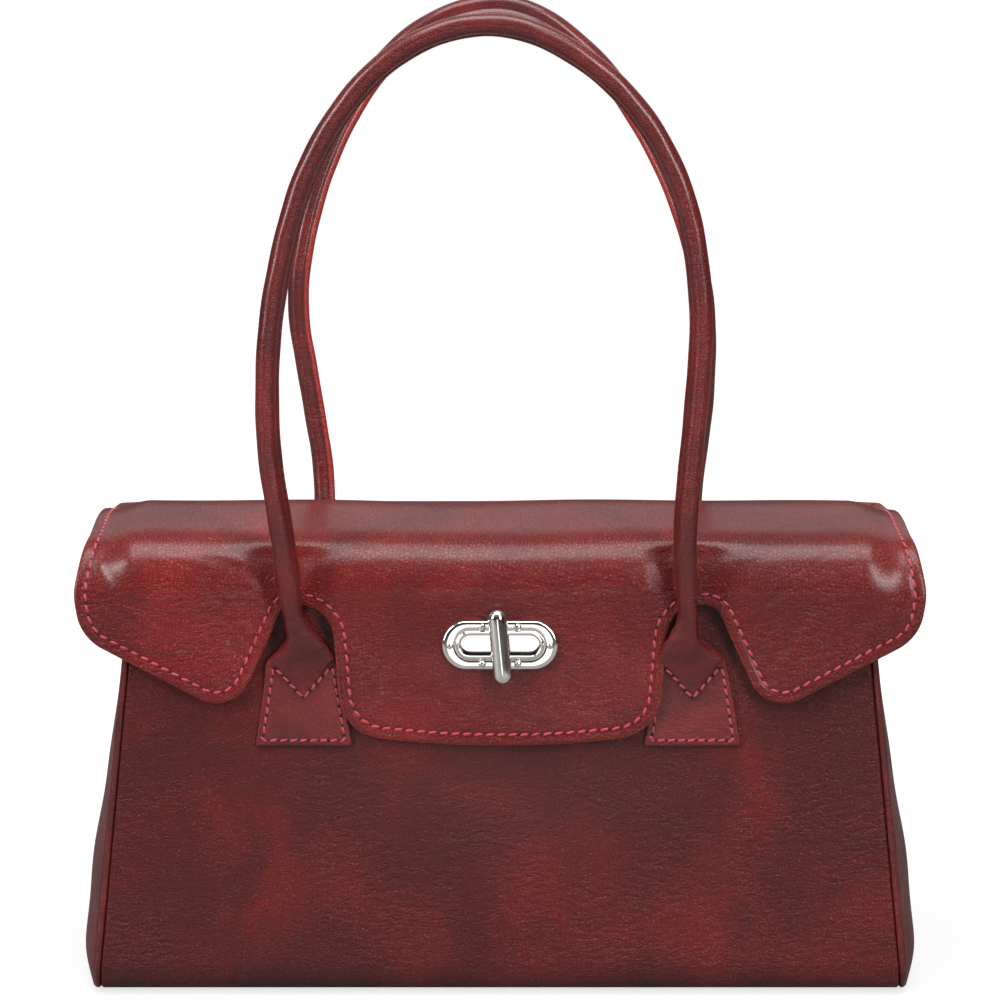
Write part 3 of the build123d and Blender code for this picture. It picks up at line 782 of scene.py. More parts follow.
def cut_piece(name, loops, thickness, edge_radius, place, materials, spacing=1.5, under=4.0, reach=7.0):
    """Leather cut to an outline, with holes: a rounded rim, a fine upper face and a coarse lower one.

    The rim is a half ellipse from the lower face round to the upper one. Rings inside it carry
    the face on for reach mm, and a honeycomb of points fills the rest.
    """
    parts, faces, count = [], [], 0
    upper_loops, lower_loops = [], []
    for number, loop in enumerate(loops):
        inward = into_leather(loop, number > 0)
        angle = np.linspace(-np.pi / 2, np.pi / 2, 9)
        away = edge_radius * (1 - np.cos(angle))
        level = thickness / 2 * (np.sin(angle) - 1)
        last, count_in = (reach, 8) if number == 0 else (edge_radius + 0.8, 2)
        rings = np.linspace(edge_radius, last, count_in)
        away = np.concatenate([away, rings[1:]])
        level = np.concatenate([level, np.zeros(len(rings) - 1)])
        flat = loop[None] + away[:, None, None] * inward[None]
        shape = flat.shape[:2]
        parts.append(
            np.concatenate(
                [flat, np.broadcast_to(level[:, None, None], shape + (1,)),
                 np.broadcast_to(away[:, None, None], shape + (1,))], axis=2
            ).reshape(-1, 4)
        )
        faces += grid_faces(*shape, start=count, round_columns=True).tolist()
        count += shape[0] * shape[1]
        upper_loops.append(flat[-1])
        lower_loops.append(flat[0])
    for rim_loops, level, step in ((upper_loops, 0.0, spacing), (lower_loops, -thickness, under)):
        made, triangles = fill(rim_loops, step)
        away = distance_to(made, loops[0])
        parts.append(np.column_stack([made, np.full(len(made), level), away]))
        faces += (triangles + count).tolist()
        count += len(made)
    flat = np.concatenate(parts)
    piece_points = place(flat[:, 0], flat[:, 1], flat[:, 2], flat[:, 3])
    paint = smooth_step((0.75 - flat[:, 3]) / 0.5) * (flat[:, 2] > -thickness * 0.97)
    return new_piece(name, piece_points, faces, materials, edge_paint=paint)


stitch_inset = 4.75
wide_wave, short_wave, lobe_curl = 0.6, 0.35, 1.0
seam_depth, edge_swell = 0.38, 0.15
crease_zones = [
    # middle x, middle drop, half width, half height, angle from upright, count, depth
    (-130.0, 30.0, 36.0, 20.0, 62.0, 20, 0.40),
    (130.0, 30.0, 36.0, 20.0, -60.0, 18, 0.36),
    (-96.0, 28.0, 9.0, 14.0, 12.0, 7, 0.26),
    (-30.0, 30.0, 26.0, 14.0, -25.0, 12, 0.18),
    (58.0, 30.0, 20.0, 14.0, 30.0, 12, 0.20),
    (98.0, 28.0, 9.0, 14.0, -14.0, 7, 0.24),
    (0.0, 68.0, 52.0, 12.0, 80.0, 10, 0.22),
]
creases = []
for x0, low_by, half_x, half_z, angle, count, depth in crease_zones:
    for _ in range(count):
        creases.append(
            (
                x0 + half_x * rng.uniform(-1, 1),
                front_s(flap_top - low_by) + half_z * rng.uniform(-1, 1),
                np.radians(angle + rng.normal(0, 14)),
                rng.uniform(6, 17),
                rng.uniform(1.1, 2.2),
                depth * rng.uniform(0.4, 1.0),
                rng.uniform(-0.02, 0.02),
            )
        )


def flap_relief(x, s, away):
    """How far the flap's face stands out from its plain profile.

    Wide waves, which are products of cosines, give the soft hang. Each crease is a bent groove:
    a Gaussian across it times one along it. The stitch line is drawn in, and the lobes curl out.
    """
    front = smooth_step((s - front_s(flap_top - 9)) / 20)
    over = smooth_step((s - top_start) / 12)
    relief = over * wide_wave * np.cos(x / 31 + 0.8) * np.cos(s / 24)
    relief = relief + over * short_wave * np.cos(x / 17 - s / 29)
    lobes = smooth_step((np.abs(x) - 95) / 60) * smooth_step((s - front_s(flap_top - 25)) / 30)
    relief = relief + front * lobe_curl * lobes
    near_lock = np.exp(-((x / 34) ** 2) - ((s - front_s(lock_rise)) / 17) ** 2)
    relief = relief * (1 - near_lock)
    for x0, s0, angle, length, width, depth, bend in creases:
        along = (x - x0) * np.sin(angle) + (s - s0) * np.cos(angle)
        side = (x - x0) * np.cos(angle) - (s - s0) * np.sin(angle) - bend * along**2
        groove = np.exp(-((side / width) ** 2) - (along / length) ** 2)
        ridge = np.exp(-(((side - 2.0 * width) / (1.4 * width)) ** 2) - (along / length) ** 2)
        relief = relief + depth * (0.45 * ridge - groove) * (1 - near_lock)
    seam = np.exp(-(((away - stitch_inset) / 1.0) ** 2))
    return relief - seam_depth * seam + edge_swell * np.exp(-(((away - 2.6) / 1.2) ** 2))


end_droop = 3.6
dent_depth, dent_half_width = 3.3, 14.0


def flap_droop(x, s):
    """How far the flap sinks: its two ends beyond the body, and its front where the handles press.

    Each dent is a Gaussian across the flap, faded in and out down it.
    """
    top = smooth_step((s - top_start + 4) / 10) * (1 - smooth_step((s - front_s(flap_top - 6)) / 30))
    ends = end_droop * top * smooth_step((np.abs(x) - strip_half - 1) / 17)
    front = smooth_step((s - front_s(flap_top - 1)) / 7)
    front = front * (1 - smooth_step((s - front_s(flap_top - 14)) / 22))
    pressed = sum(np.exp(-(((x - handle_x) / dent_half_width) ** 2)) for handle_x in (-88, 78))
    return ends + dent_depth * front * pressed


def flap_place(x, s, level, away):
    """Place of a point of the flap's hide, its relief full on the face and a third underneath."""
    share = 0.35 + 0.65 * np.clip(1 + level / flap_thickness, 0, 1)
    return on_profile(x, s, level + share * flap_relief(x, s, away) - flap_droop(x, s))


flap_leather = aniline_cowhide(
    "burgundy_aniline_cowhide_flap",
    [(0.30, "55110f"), (0.44, "611311"), (0.57, "6c1613"), (0.72, "7c1c18")],
    cloud=60.0,
    grain=1.6,
    roughness=0.36,
    gloss=0.45,
    relief=0.00036,
)
flap = cut_piece(
    "flap_hide",
    [flap_outline, slot_hole],
    flap_thickness,
    1.0,
    flap_place,
    [flap_leather],
)
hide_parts("flap_leather", "flap_back_strip")
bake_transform(flap)


def suede(name, light, dark):
    """Split hide, buffed to a short nap: matt, with paler brushed patches and a fine fibre."""
    material, tree, shader = empty_material(name)
    place = add(tree, "ShaderNodeTexCoord").outputs["Object"]
    brushed = add(tree, "ShaderNodeTexNoise", None, {"Vector": place, "Scale": 1000 / 30, "Detail": 3.0})
    nap = add(tree, "ShaderNodeTexNoise", None, {"Vector": place, "Scale": 1000 / 0.7, "Detail": 2.0})
    mixed = add(
        tree, "ShaderNodeMath", {"operation": "MULTIPLY_ADD"},
        {0: nap.outputs[0], 1: 0.3, 2: brushed.outputs[0]},
    )
    stops = [(0.45, dark), (0.85, light)]
    colour = add(tree, "ShaderNodeValToRGB", None, {"Fac": mixed.outputs[0]}, stops)
    tree.links.new(colour.outputs[0], shader.inputs["Base Color"])
    bump = add(
        tree, "ShaderNodeBump", None,
        {"Height": nap.outputs[0], "Strength": 0.6, "Distance": 0.0002},
    )
    tree.links.new(bump.outputs[0], shader.inputs["Normal"])
    shader.inputs["Roughness"].default_value = 0.95
    shader.inputs["Sheen Weight"].default_value = 0.35
    return material


lining_thickness = 0.95
lining_gap = 0.05


def flap_lining_place(x, s, level, away):
    """Place of a point of the flap's lining, which lies under the hide and shares a third of its relief."""
    sunk = 0.35 * np.minimum(flap_relief(x, s, away), 0) - flap_droop(x, s)
    return on_profile(x, s, level - flap_thickness - lining_gap + sunk)


lining_start = top_start + 3.0
lining_half = [
    (flap_half_width - 3.4, lining_start, 2.0),
] + [(x - (0.8 if x > lobe_low_x else 0.0), s, r) for x, s, r in half_outline[4:]]
lining_corners = (
    [(-x, s, r) for x, s, r in lining_half] + tongue + [(x, s, r) for x, s, r in lining_half[::-1]]
)
lining_outline = rounded_path(
    [c[:2] for c in lining_corners], [c[2] for c in lining_corners], 2.0, closed=True
)
flap_suede = cut_piece(
    "flap_suede",
    [lining_outline, slot_hole],
    lining_thickness,
    0.45,
    flap_lining_place,
    [suede("burgundy_split_suede", "8a4a45", "5c2426")],
    spacing=2.6,
    under=2.6,
)
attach(flap_suede, "flap")
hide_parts("flap_lining")


# ---------------------------------------------------------------- flap stitching
# Waxed polyester thread in a brighter red is lockstitched round the flap, six stitches an inch.
# Each stitch is a short fat bead that dips into a needle hole at both of its ends.
stitch_pitch = 4.8
stitch_length = 3.6
stitch_width = 1.1
stitch_slant = 0.16          # each lies a little across its line


def waxed_thread(name, light, dark):
    """Twisted waxed polyester thread: its plies of 0.6 mm catch the light, with a soft shine."""
    material, tree, shader = empty_material(name)
    place = add(tree, "ShaderNodeTexCoord").outputs["Object"]
    plies = add(tree, "ShaderNodeTexNoise", None, {"Vector": place, "Scale": 1000 / 0.6, "Detail": 2.0})
    stops = [(0.3, dark), (0.7, light)]
    colour = add(tree, "ShaderNodeValToRGB", None, {"Fac": plies.outputs[0]}, stops)
    tree.links.new(colour.outputs[0], shader.inputs["Base Color"])
    shader.inputs["Roughness"].default_value = 0.5
    shader.inputs["Sheen Weight"].default_value = 0.3
    return material


def needle_hole_shade(name, light, dark):
    """Painted shade of a needle hole: near-black hide colour without shine, standing in for the dark inside
    the hole.
    """
    material, tree, shader = empty_material(name)
    place = add(tree, "ShaderNodeTexCoord").outputs["Object"]
    fibre = add(tree, "ShaderNodeTexNoise", None, {"Vector": place, "Scale": 1000 / 0.4, "Detail": 2.0})
    stops = [(0.3, dark), (0.8, light)]
    colour = add(tree, "ShaderNodeValToRGB", None, {"Fac": fibre.outputs[0]}, stops)
    tree.links.new(colour.outputs[0], shader.inputs["Base Color"])
    shader.inputs["Roughness"].default_value = 0.9
    return material


thread = waxed_thread("crimson_waxed_polyester", "bc2c48", "931d36")
# The needle holes are small near-black domes: painted shade for the dark inside of each hole.
hole = needle_hole_shade("needle_hole_painted_shade", "1e0709", "0c0304")

bead_sides, bead_height, bead_lift = 6, 0.42, 0.12
bead_turn = np.linspace(0, 2 * np.pi, bead_sides, endpoint=False)
bead_end = np.array([-1.0, -0.82, -0.4, 0.4, 0.82, 1.0])
bead_thick = np.array([0.25, 0.75, 1.0, 1.0, 0.75, 0.25])
bead_dip = np.array([-0.9, -0.35, 0.0, 0.0, -0.35, -0.9])
bead = np.stack(
    [
        np.repeat(bead_end[:, None], bead_sides, axis=1) * stitch_length / 2,
        bead_thick[:, None] * np.cos(bead_turn) * stitch_width / 2
        + stitch_slant * bead_end[:, None] * stitch_length / 2,
        bead_height * (bead_thick[:, None] * np.sin(bead_turn) + bead_dip[:, None]) + bead_lift,
    ],
    axis=-1,
).reshape(-1, 3)
bead_faces = grid_faces(len(bead_end), bead_sides, round_columns=True)
dot_sides, dot_long, dot_wide, dot_top, dot_foot = 8, 0.85, 0.8, 0.26, -0.1
dot_ring = np.linspace(0, 2 * np.pi, dot_sides, endpoint=False)
dot_rim = [dot_long * np.cos(dot_ring), dot_wide * np.sin(dot_ring), np.full(dot_sides, dot_foot)]
dot = np.concatenate([[(0.0, 0.0, dot_top)], np.column_stack(dot_rim)])
dot_number = np.arange(dot_sides)
dot_faces = np.stack([0 * dot_number, 1 + dot_number, 1 + (dot_number + 1) % dot_sides], axis=1)


def sew(name, lines, pitch=stitch_pitch, size=1.0, materials=(thread, hole)):
    """Stitches and their needle holes along lines of (points, outward directions).

    Every stitch is the same bead, turned to its line and placed at even steps along it. Its ends
    are closed with a hexagon, and the holes, small near-black domes of painted shade, lie half way between
    neighbours.
    """
    points, faces, numbers, count = [], [], [], 0
    for line, out in lines:
        run = run_length(line)
        steps = max(int(run[-1] // pitch), 1)
        places = (run[-1] - steps * pitch) / 2 + pitch * (np.arange(steps) + 0.5)
        for shape, cells, caps, where, kind in (
            (bead * size, bead_faces, True, places, 0),
            (dot * size, dot_faces, False, np.append(places - pitch / 2, places[-1] + pitch / 2), 1),
        ):
            middle = np.stack([np.interp(where, run, line[:, k]) for k in range(3)], axis=1)
            ahead = np.stack([np.interp(where + 0.5, run, line[:, k]) for k in range(3)], axis=1)
            behind = np.stack([np.interp(where - 0.5, run, line[:, k]) for k in range(3)], axis=1)
            along = ahead - behind
            along /= np.linalg.norm(along, axis=1, keepdims=True)
            up = np.stack([np.interp(where, run, out[:, k]) for k in range(3)], axis=1)
            up -= along * np.sum(up * along, axis=1, keepdims=True)
            up /= np.linalg.norm(up, axis=1, keepdims=True)
            side = np.cross(up, along)
            made = (
                middle[:, None]
                + shape[None, :, :1] * along[:, None]
                + shape[None, :, 1:2] * side[:, None]
                + shape[None, :, 2:] * up[:, None]
            )
            shift = count + len(shape) * np.arange(len(where))[:, None, None]
            faces += (cells[None] + shift).reshape(-1, cells.shape[1]).tolist()
            numbers += [kind] * (len(cells) * len(where))
            if caps:
                ends = np.array([range(bead_sides), range(len(shape) - 1, len(shape) - 1 - bead_sides, -1)])
                faces += (ends[None] + shift).reshape(-1, bead_sides).tolist()
                numbers += [kind] * (2 * len(where))
            else:
                base = np.arange(dot_sides, 0, -1)[None, None]
                faces += (base + shift).reshape(-1, dot_sides).tolist()
                numbers += [kind] * len(where)
            points.append(made.reshape(-1, 3))
            count += len(shape) * len(where)
    return new_piece(name, np.concatenate(points), faces, list(materials), numbers)


into_flap = into_leather(flap_outline, False)
stitch_loop = flap_outline + into_flap * stitch_inset
behind = np.argmax(stitch_loop[:, 1] <= top_start)   # the line starts and ends at the back corners
stitch_loop = np.roll(stitch_loop, -behind, axis=0)
stitch_loop = stitch_loop[stitch_loop[:, 1] > top_start + 1.0]


def on_flap(loop, away):
    """Points on the flap's face for a line of its pattern, and the directions out of it."""
    x, s = loop[:, 0], loop[:, 1]
    base = on_profile(x, s, flap_relief(x, s, np.full(len(x), away)) - flap_droop(x, s))
    lift = on_profile(x, s, 1.0) - on_profile(x, s, 0.0)
    return base, lift


flap_stitches = sew("flap_topstitching", [on_flap(stitch_loop, stitch_inset)])
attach(flap_stitches, "flap")

strip_inset = 4.5
strip_x = np.linspace(-1, 1, 300) * (seam_x(strip_low) - 6)
strip_line = np.stack([strip_x, np.full(300, strip_inset)], axis=1)
strip_stitches = sew("back_strip_topstitching", [on_flap(strip_line, stitch_inset)])
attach(strip_stitches, "root")

# ---------------------------------------------------------------- handles
# Each handle is one strip rolled round a cotton cord and sewn along a flange on its inner side.
# Both ends open out into flat tapered tabs, sewn to the panel round the edge and along a V.
tube_radius = 4.2
tab_thickness = 1.9
tab_low, tab_high = mouth_height - 80.4, mouth_height - 42.0
tab_low_half, tab_high_half = 20.2, 14.2
flare_start, flare_end = mouth_height - 47.5, mouth_height - 27.0
flange_reach = 2.7
flange_half_angle = 0.30
flange_angle = np.radians(225)   # towards the inside of the arch and the middle of the bag
v_low, v_high, v_half = mouth_height - 60.5, mouth_height - 45.5, 12.4
handle_root = -31.4          # hinge of each handle, from the mouth
front_route = [              # x, out from the middle, height above the mouth
    (-84.6, 57.5, handle_root), (-89.5, 64.5, 6), (-97.5, 64.5, 62), (-91.5, 64.5, 124),
    (-73, 64.5, 178), (-38, 64.5, 215), (4, 64.5, 223.5), (44, 64.5, 202), (72, 64.5, 165),
    (83.5, 64.5, 114), (81, 64.5, 63), (76.3, 64.5, 21), (78.0, 57.5, handle_root),
]
back_route = [
    (-81.5, 57.5, handle_root), (-78, 64.5, 9), (-84.5, 64.5, 52), (-92, 64.5, 94),
    (-83.5, 64.5, 140), (-64, 64.5, 185), (-33, 64.5, 218), (7, 64.5, 227), (43, 64.5, 202),
    (72, 64.5, 159), (90.5, 64.5, 107), (93, 64.5, 58), (86.5, 64.5, 11), (84.5, 57.5, handle_root),
]


def tab_run(tab_x, root_x):
    """Route points up one tab, from its lower edge to below the place where the tube leaves it."""
    heights = (tab_low, tab_low + 16, tab_high - 11.0, tab_high - 1.5)
    stands = (tab_thickness / 2, tab_thickness / 2, tab_thickness / 2, 2.3)
    shares = (0.0, 0.0, 0.2, 0.6)
    return [
        (tab_x + (root_x - tab_x) * share, half_depth(z, stand + 0.05), z)
        for z, stand, share in zip(heights, stands, shares)
    ]


def eased(points, spacing):
    """Quadratic B-spline of the points, evened out: it runs from the first to the last.

    Between the middles of two neighbouring runs it is the parabola that touches both there.
    """
    points = np.array(points, float)
    ends = (points[:-1] + points[1:]) / 2
    ends[0], ends[-1] = points[0], points[-1]
    t = np.linspace(0, 1, 40)[:-1, None]
    spans = [
        (1 - t) ** 2 * a + 2 * t * (1 - t) * b + t**2 * c for a, b, c in zip(ends, points[1:-1], ends[1:])
    ]
    line = np.concatenate(spans + [points[-1:]])
    run = run_length(line)
    places = np.linspace(0, run[-1], int(run[-1] / spacing))
    return np.stack([np.interp(places, run, line[:, k]) for k in range(3)], axis=1)


def handle_surface(route, tab_xs, side):
    """Loops of one handle from tab to tab, with the share of edge paint on each point.

    A loop runs over the outer face, round one edge, back under and round the other. On a tab it
    is a flat strip, up on the handle it is a circle with a flange, and the flare mixes the two.
    """
    tube = [(x, out, mouth_height + up) for x, out, up in route]
    line = tab_run(tab_xs[0], route[0][0]) + tube + tab_run(tab_xs[1], route[-1][0])[::-1]
    line = eased([(x, side * out, z) for x, out, z in line], 1.25)
    run = run_length(line)
    z = line[:, 2]
    first_half = run < run[-1] / 2
    sign = np.where(first_half, 1.0, -1.0)[:, None]
    rolled = smooth_step((z - flare_start) / 9.0)[:, None]
    half = np.interp(z, [tab_low, tab_high], [tab_low_half, tab_high_half])[:, None]
    to_end = np.minimum(run, run[-1] - run)[:, None]
    shrink = roll_drop(to_end + 0.02, 0.6)

    face, end = 44, 8
    u = np.concatenate(
        [np.linspace(1, -1, face), -np.ones(end), np.linspace(-1, 1, face), np.ones(end)]
    )
    bend = np.linspace(0, np.pi, end + 2)[1:-1]
    edge_out = np.concatenate(
        [np.ones(face), np.cos(bend), -np.ones(face), -np.cos(bend)]
    )
    edge_side = np.concatenate(
        [np.zeros(face), -np.sin(bend), np.zeros(face), np.sin(bend)]
    )
    flat_a = u[None] * (half - 0.6 - shrink) + 0.6 * edge_side[None]
    flat_b = edge_out[None] * (tab_thickness / 2 - shrink * 0.5)
    face_turn = np.linspace(0.10, 0.90, face) * np.pi
    end_turn = np.linspace(0.90, 1.10, end + 2)[1:-1] * np.pi
    turn = np.concatenate([face_turn, end_turn, face_turn + np.pi, end_turn + np.pi])

    # The V: the tube's opened end is laid on the tab as a point, domed and stitched along its sides.
    mid_x = np.where(first_half, tab_xs[0], tab_xs[1])[:, None]
    x = line[:, :1] - flat_a * sign
    wide = v_half * np.clip((z[:, None] - v_low) / (v_high - v_low), 1e-3, 1.4)
    apart = np.abs(x - mid_x) / wide
    in_v = smooth_step((1 - apart) / 0.16) * smooth_step((z[:, None] - v_low) / 2.0)
    dome = np.clip(1 - apart**2, 0, 1) * smooth_step((z[:, None] - v_low) / 17.0)
    upper = (edge_out > 0.99)[None]
    flat_b = flat_b + upper * (0.75 * in_v + 2.3 * dome)

    standing = smooth_step((z - flare_end + 4) / 22.0)[:, None]
    away = np.angle(np.exp(1j * (turn - flange_angle)))[None]
    flange = flange_reach * standing * np.exp(-((away / flange_half_angle) ** 4))
    neck = 1 - 0.05 * np.exp(-(((z[:, None] - flare_end - 3) / 8) ** 2))
    wrinkle = 0.10 * np.sin(run[:, None] * 1.05 + 1.5 * np.sin(turn[None] * 2)) * np.exp(
        -(((z[:, None] - flare_end + 6) / 9) ** 2)
    )
    uneven = 0.10 * np.sin(run[:, None] / 9 + turn[None])
    uneven = uneven + 0.07 * np.sin(run[:, None] / 3.7 - 2 * turn[None])
    radius = tube_radius * neck + flange + (wrinkle + uneven) * rolled
    round_a, round_b = radius * np.cos(turn)[None], radius * np.sin(turn)[None]
    shoulder = flare_end + 1.0 - 5.5 * np.cos(turn)[None]   # it opens sooner towards the middle
    spread = 1 - smooth_step((z[:, None] - tab_high + 4) / (shoulder - tab_high + 4))
    thin = 1 - smooth_step((z[:, None] - flare_start + 2) / 12.0)
    round_a = round_a * (1 + (tab_high_half / tube_radius - 1) * spread)
    round_b = round_b * (1 - 0.4 * thin)
    a = flat_a + (round_a - flat_a) * rolled
    b = flat_b + (round_b - flat_b) * rolled

    # Across points from the inside of the arch to the outside, and out points away from the bag.
    forward = tangents(line)
    out = np.zeros_like(line)
    out[:, 1] = side
    out = out - forward * np.sum(out * forward, axis=1, keepdims=True)
    out /= np.linalg.norm(out, axis=1, keepdims=True)
    outward = np.cross(forward, out) * side
    points = line[:, None] + a[..., None] * outward[:, None] + b[..., None] * out[:, None]
    floor = half_depth(points[..., 2], 0.06)
    low = points[..., 2] < flare_end
    points[..., 1] = np.where(low, side * np.maximum(side * points[..., 1], floor), points[..., 1])
    on_edge = (1 - rolled) * (np.abs(edge_side) > 0.01)[None]
    tip = standing * smooth_step((flange / flange_reach - 0.72) / 0.2)
    return line, outward, out, points, np.maximum(on_edge * 0.5, tip)


handle_leather = aniline_cowhide(
    "burgundy_rolled_handle_leather",
    [(0.30, "4c1110"), (0.45, "5a1413"), (0.56, "661715"), (0.68, "721c19")],
    cloud=34.0,
    grain=1.2,
    roughness=0.32,
    gloss=0.7,
    relief=0.00018,
    edge="9a2a24",
)

for place, side, route, tab_xs in (
    ("front", -1, front_route, (-82.2, 80.5)),
    ("back", 1, back_route, (-81.5, 84.5)),
):
    line, outward, out, loops, paint = handle_surface(route, tab_xs, side)
    handle = bar(f"handle_{place}_rolled", loops, [handle_leather], edge_paint=paint)
    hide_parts(f"handle_{place}_grip", f"tab_{place}_left", f"tab_{place}_right")
    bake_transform(handle)
    # Flange seam: a finer thread, on the face of the flange that is turned away from the bag.
    along = line[:, 2] > flare_end + 12
    grip = line[along]
    toward = np.cos(flange_angle) * outward[along] + np.sin(flange_angle) * out[along]
    facing_side = -np.sin(flange_angle) * outward[along] + np.cos(flange_angle) * out[along]
    facing_side = facing_side * np.sign(np.sum(facing_side * out[along], axis=1, keepdims=True))
    seam = grip + toward * (tube_radius + 1.3) + facing_side * 1.15
    flange_stitches = sew(f"handle_{place}_flange_stitching", [(seam, facing_side)], pitch=3.6, size=0.62)
    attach(flange_stitches, f"handle_{place}")

    # Tab stitching: round the two sides and the lower edge, and down and up the V.
    lines = []
    on_tabs = (loops[..., 2] < flare_end) & (side * loops[..., 1] > half_depth(loops[..., 2], 0.9))
    face_points = loops[on_tabs]
    for tab_x in tab_xs:
        inset = 2.6
        slope = (tab_low_half - tab_high_half) / (tab_high - tab_low)
        side_low = tab_low_half - inset - 0.4
        side_high = side_low - slope * (tab_high - tab_low - inset - 4.4)
        around = rounded_path(
            [(tab_x - side_high, tab_high - 4.4), (tab_x - side_low, tab_low + inset),
             (tab_x + side_low, tab_low + inset), (tab_x + side_high, tab_high - 4.4)],
            [0, 1.0, 1.0, 0],
            0.6,
        )
        vee = rounded_path(
            [(tab_x - side_high + 0.6, tab_high - 4.4), (tab_x, v_low + 0.8),
             (tab_x + side_high - 0.6, tab_high - 4.4)],
            [0, 0.6, 0],
            0.6,
        )
        for flat in (around, vee):
            gap = np.linalg.norm(face_points[None, :, ::2] - flat[:, None], axis=2)
            near = np.argsort(gap, axis=1)[:, :4]
            y = side * (side * face_points[near, 1]).max(axis=1)
            on_tab = np.column_stack([flat[:, 0], y, flat[:, 1]])
            away = np.zeros_like(on_tab)
            away[:, 1], away[:, 2] = side, np.tan(lean_angle)
            lines.append((on_tab, away))
    tab_stitches = sew(f"tab_{place}_stitching", lines, pitch=4.2, size=0.88)
    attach(tab_stitches, "root")

# ---------------------------------------------------------------- turn lock
# The ring plate is die-cast, polished and nickel plated, and is riveted through the flap.
# A base plate with a turning bar stands on the panel behind it and comes through its slot.


def polished_nickel(name, light="ece9e3", dark="dcd8d0", roughness=0.07):
    """Bright nickel over a polished casting: mirror-like, with the faint haze of handling."""
    material, tree, shader = empty_material(name)
    place = add(tree, "ShaderNodeTexCoord").outputs["Object"]
    haze = add(tree, "ShaderNodeTexNoise", None, {"Vector": place, "Scale": 1000 / 6, "Detail": 4.0})
    spread = add(
        tree, "ShaderNodeMapRange", None,
        {0: haze.outputs[0], 1: 0.3, 2: 0.7, 3: roughness, 4: roughness + 0.05},
    )
    tree.links.new(spread.outputs[0], shader.inputs["Roughness"])
    stops = [(0.2, dark), (0.8, light)]
    colour = add(tree, "ShaderNodeValToRGB", None, {"Fac": haze.outputs[0]}, stops)
    tree.links.new(colour.outputs[0], shader.inputs["Base Color"])
    shader.inputs["Metallic"].default_value = 1.0
    return material


nickel = polished_nickel("polished_nickel_plate")
lock_y = -half_depth(lock_rise)
lock_middle = np.array([0.0, lock_y, lock_rise])
lock_out = np.array([0.0, -np.cos(lean_angle), np.sin(lean_angle)])
lock_up = np.array([0.0, np.sin(lean_angle), np.cos(lean_angle)])


def on_lock(x, up, out):
    """Point x across, up the leaning panel and out from it, measured from the lock's middle."""
    across = x[..., None] * np.array([1.0, 0, 0])
    return lock_middle + across + up[..., None] * lock_up + out[..., None] * lock_out


def obround_ring(profile, count=96):
    """Loops of a closed profile of (half height, half core length, height out) carried round a slot."""
    profile = np.array(profile, float)
    angle = np.linspace(0, 2 * np.pi, count, endpoint=False)
    shift = np.sign(np.cos(angle + 1e-6))
    x = profile[:, :1] * np.cos(angle) + profile[:, 1:2] * shift
    up = profile[:, :1] * np.sin(angle)
    return on_lock(x, up, np.broadcast_to(profile[:, 2:], x.shape))


def arc_profile(middle, radius, start, stop, count=7):
    """Points of an arc about (half height, out), between two angles in degrees."""
    angle = np.radians(np.linspace(start, stop, count))
    return [(middle[0] + radius * np.cos(t), middle[1] + radius * np.sin(t)) for t in angle]


foot, plate_face = 5.4, 8.0
ring_section = (                 # half height and height out, from the slot's foot round to the rim's
    [(4.2, foot + 0.05), (4.2, foot + 0.3), (4.2, plate_face - 0.2)]
    + arc_profile((5.0, 8.0), 0.8, 180, 10, 11)
    + [(6.0, plate_face - 0.12), (6.35, plate_face - 0.2), (6.7, plate_face - 0.05)]
    + [(7.0, plate_face), (8.6, plate_face), (9.2, plate_face - 0.03)]
    + arc_profile((9.25, 6.95), 1.0, 85, 0, 9)
    + [(10.3, 6.6), (10.3, foot + 0.25), (10.1, foot + 0.05)]
)
ring_profile = [(h, np.interp(h, [4.2, 6.4, 10.3], [12.3, 12.4, 13.9]), n) for h, n in ring_section]
ring_loops = obround_ring(ring_profile)
ring = new_piece(
    "lock_ring",
    ring_loops,
    grid_faces(*ring_loops.shape[:2], round_rows=True, round_columns=True),
    [nickel],
)
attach(ring, "flap")
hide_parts("lock_ring_plate")

rivet_places = [(20.9, 0.0), (-20.9, 0.0)] + [(7.4 * a, 7.7 * b) for a in (-1, 1) for b in (-1, 1)]
rivet_radius = 1.55
rivet_turn = np.linspace(0, 2 * np.pi, 24, endpoint=False)
rivet_rise = np.radians(np.array([-25, 0, 18, 36, 54, 72, 90.0]))
rivet_across = rivet_radius * np.cos(rivet_rise)[:, None]
rivet_out = plate_face + 0.05 + 1.05 * np.sin(rivet_rise)[:, None]
rivet_shape = (len(rivet_rise), len(rivet_turn))
rivet_parts, rivet_faces = [], []
for number, (x, up) in enumerate(rivet_places):
    loops = on_lock(
        x + rivet_across * np.cos(rivet_turn), up + rivet_across * np.sin(rivet_turn),
        np.broadcast_to(rivet_out, rivet_shape),
    )
    start = number * rivet_across.size * len(rivet_turn)
    rivet_parts.append(loops.reshape(-1, 3))
    rivet_faces += grid_faces(*rivet_shape, start=start, round_columns=True).tolist()
    rivet_faces.append(list(range(start + len(rivet_turn) - 1, start - 1, -1)))
rivets = new_piece("lock_rivet_heads", np.concatenate(rivet_parts), rivet_faces, [nickel])
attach(rivets, "flap")
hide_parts("lock_rivets")

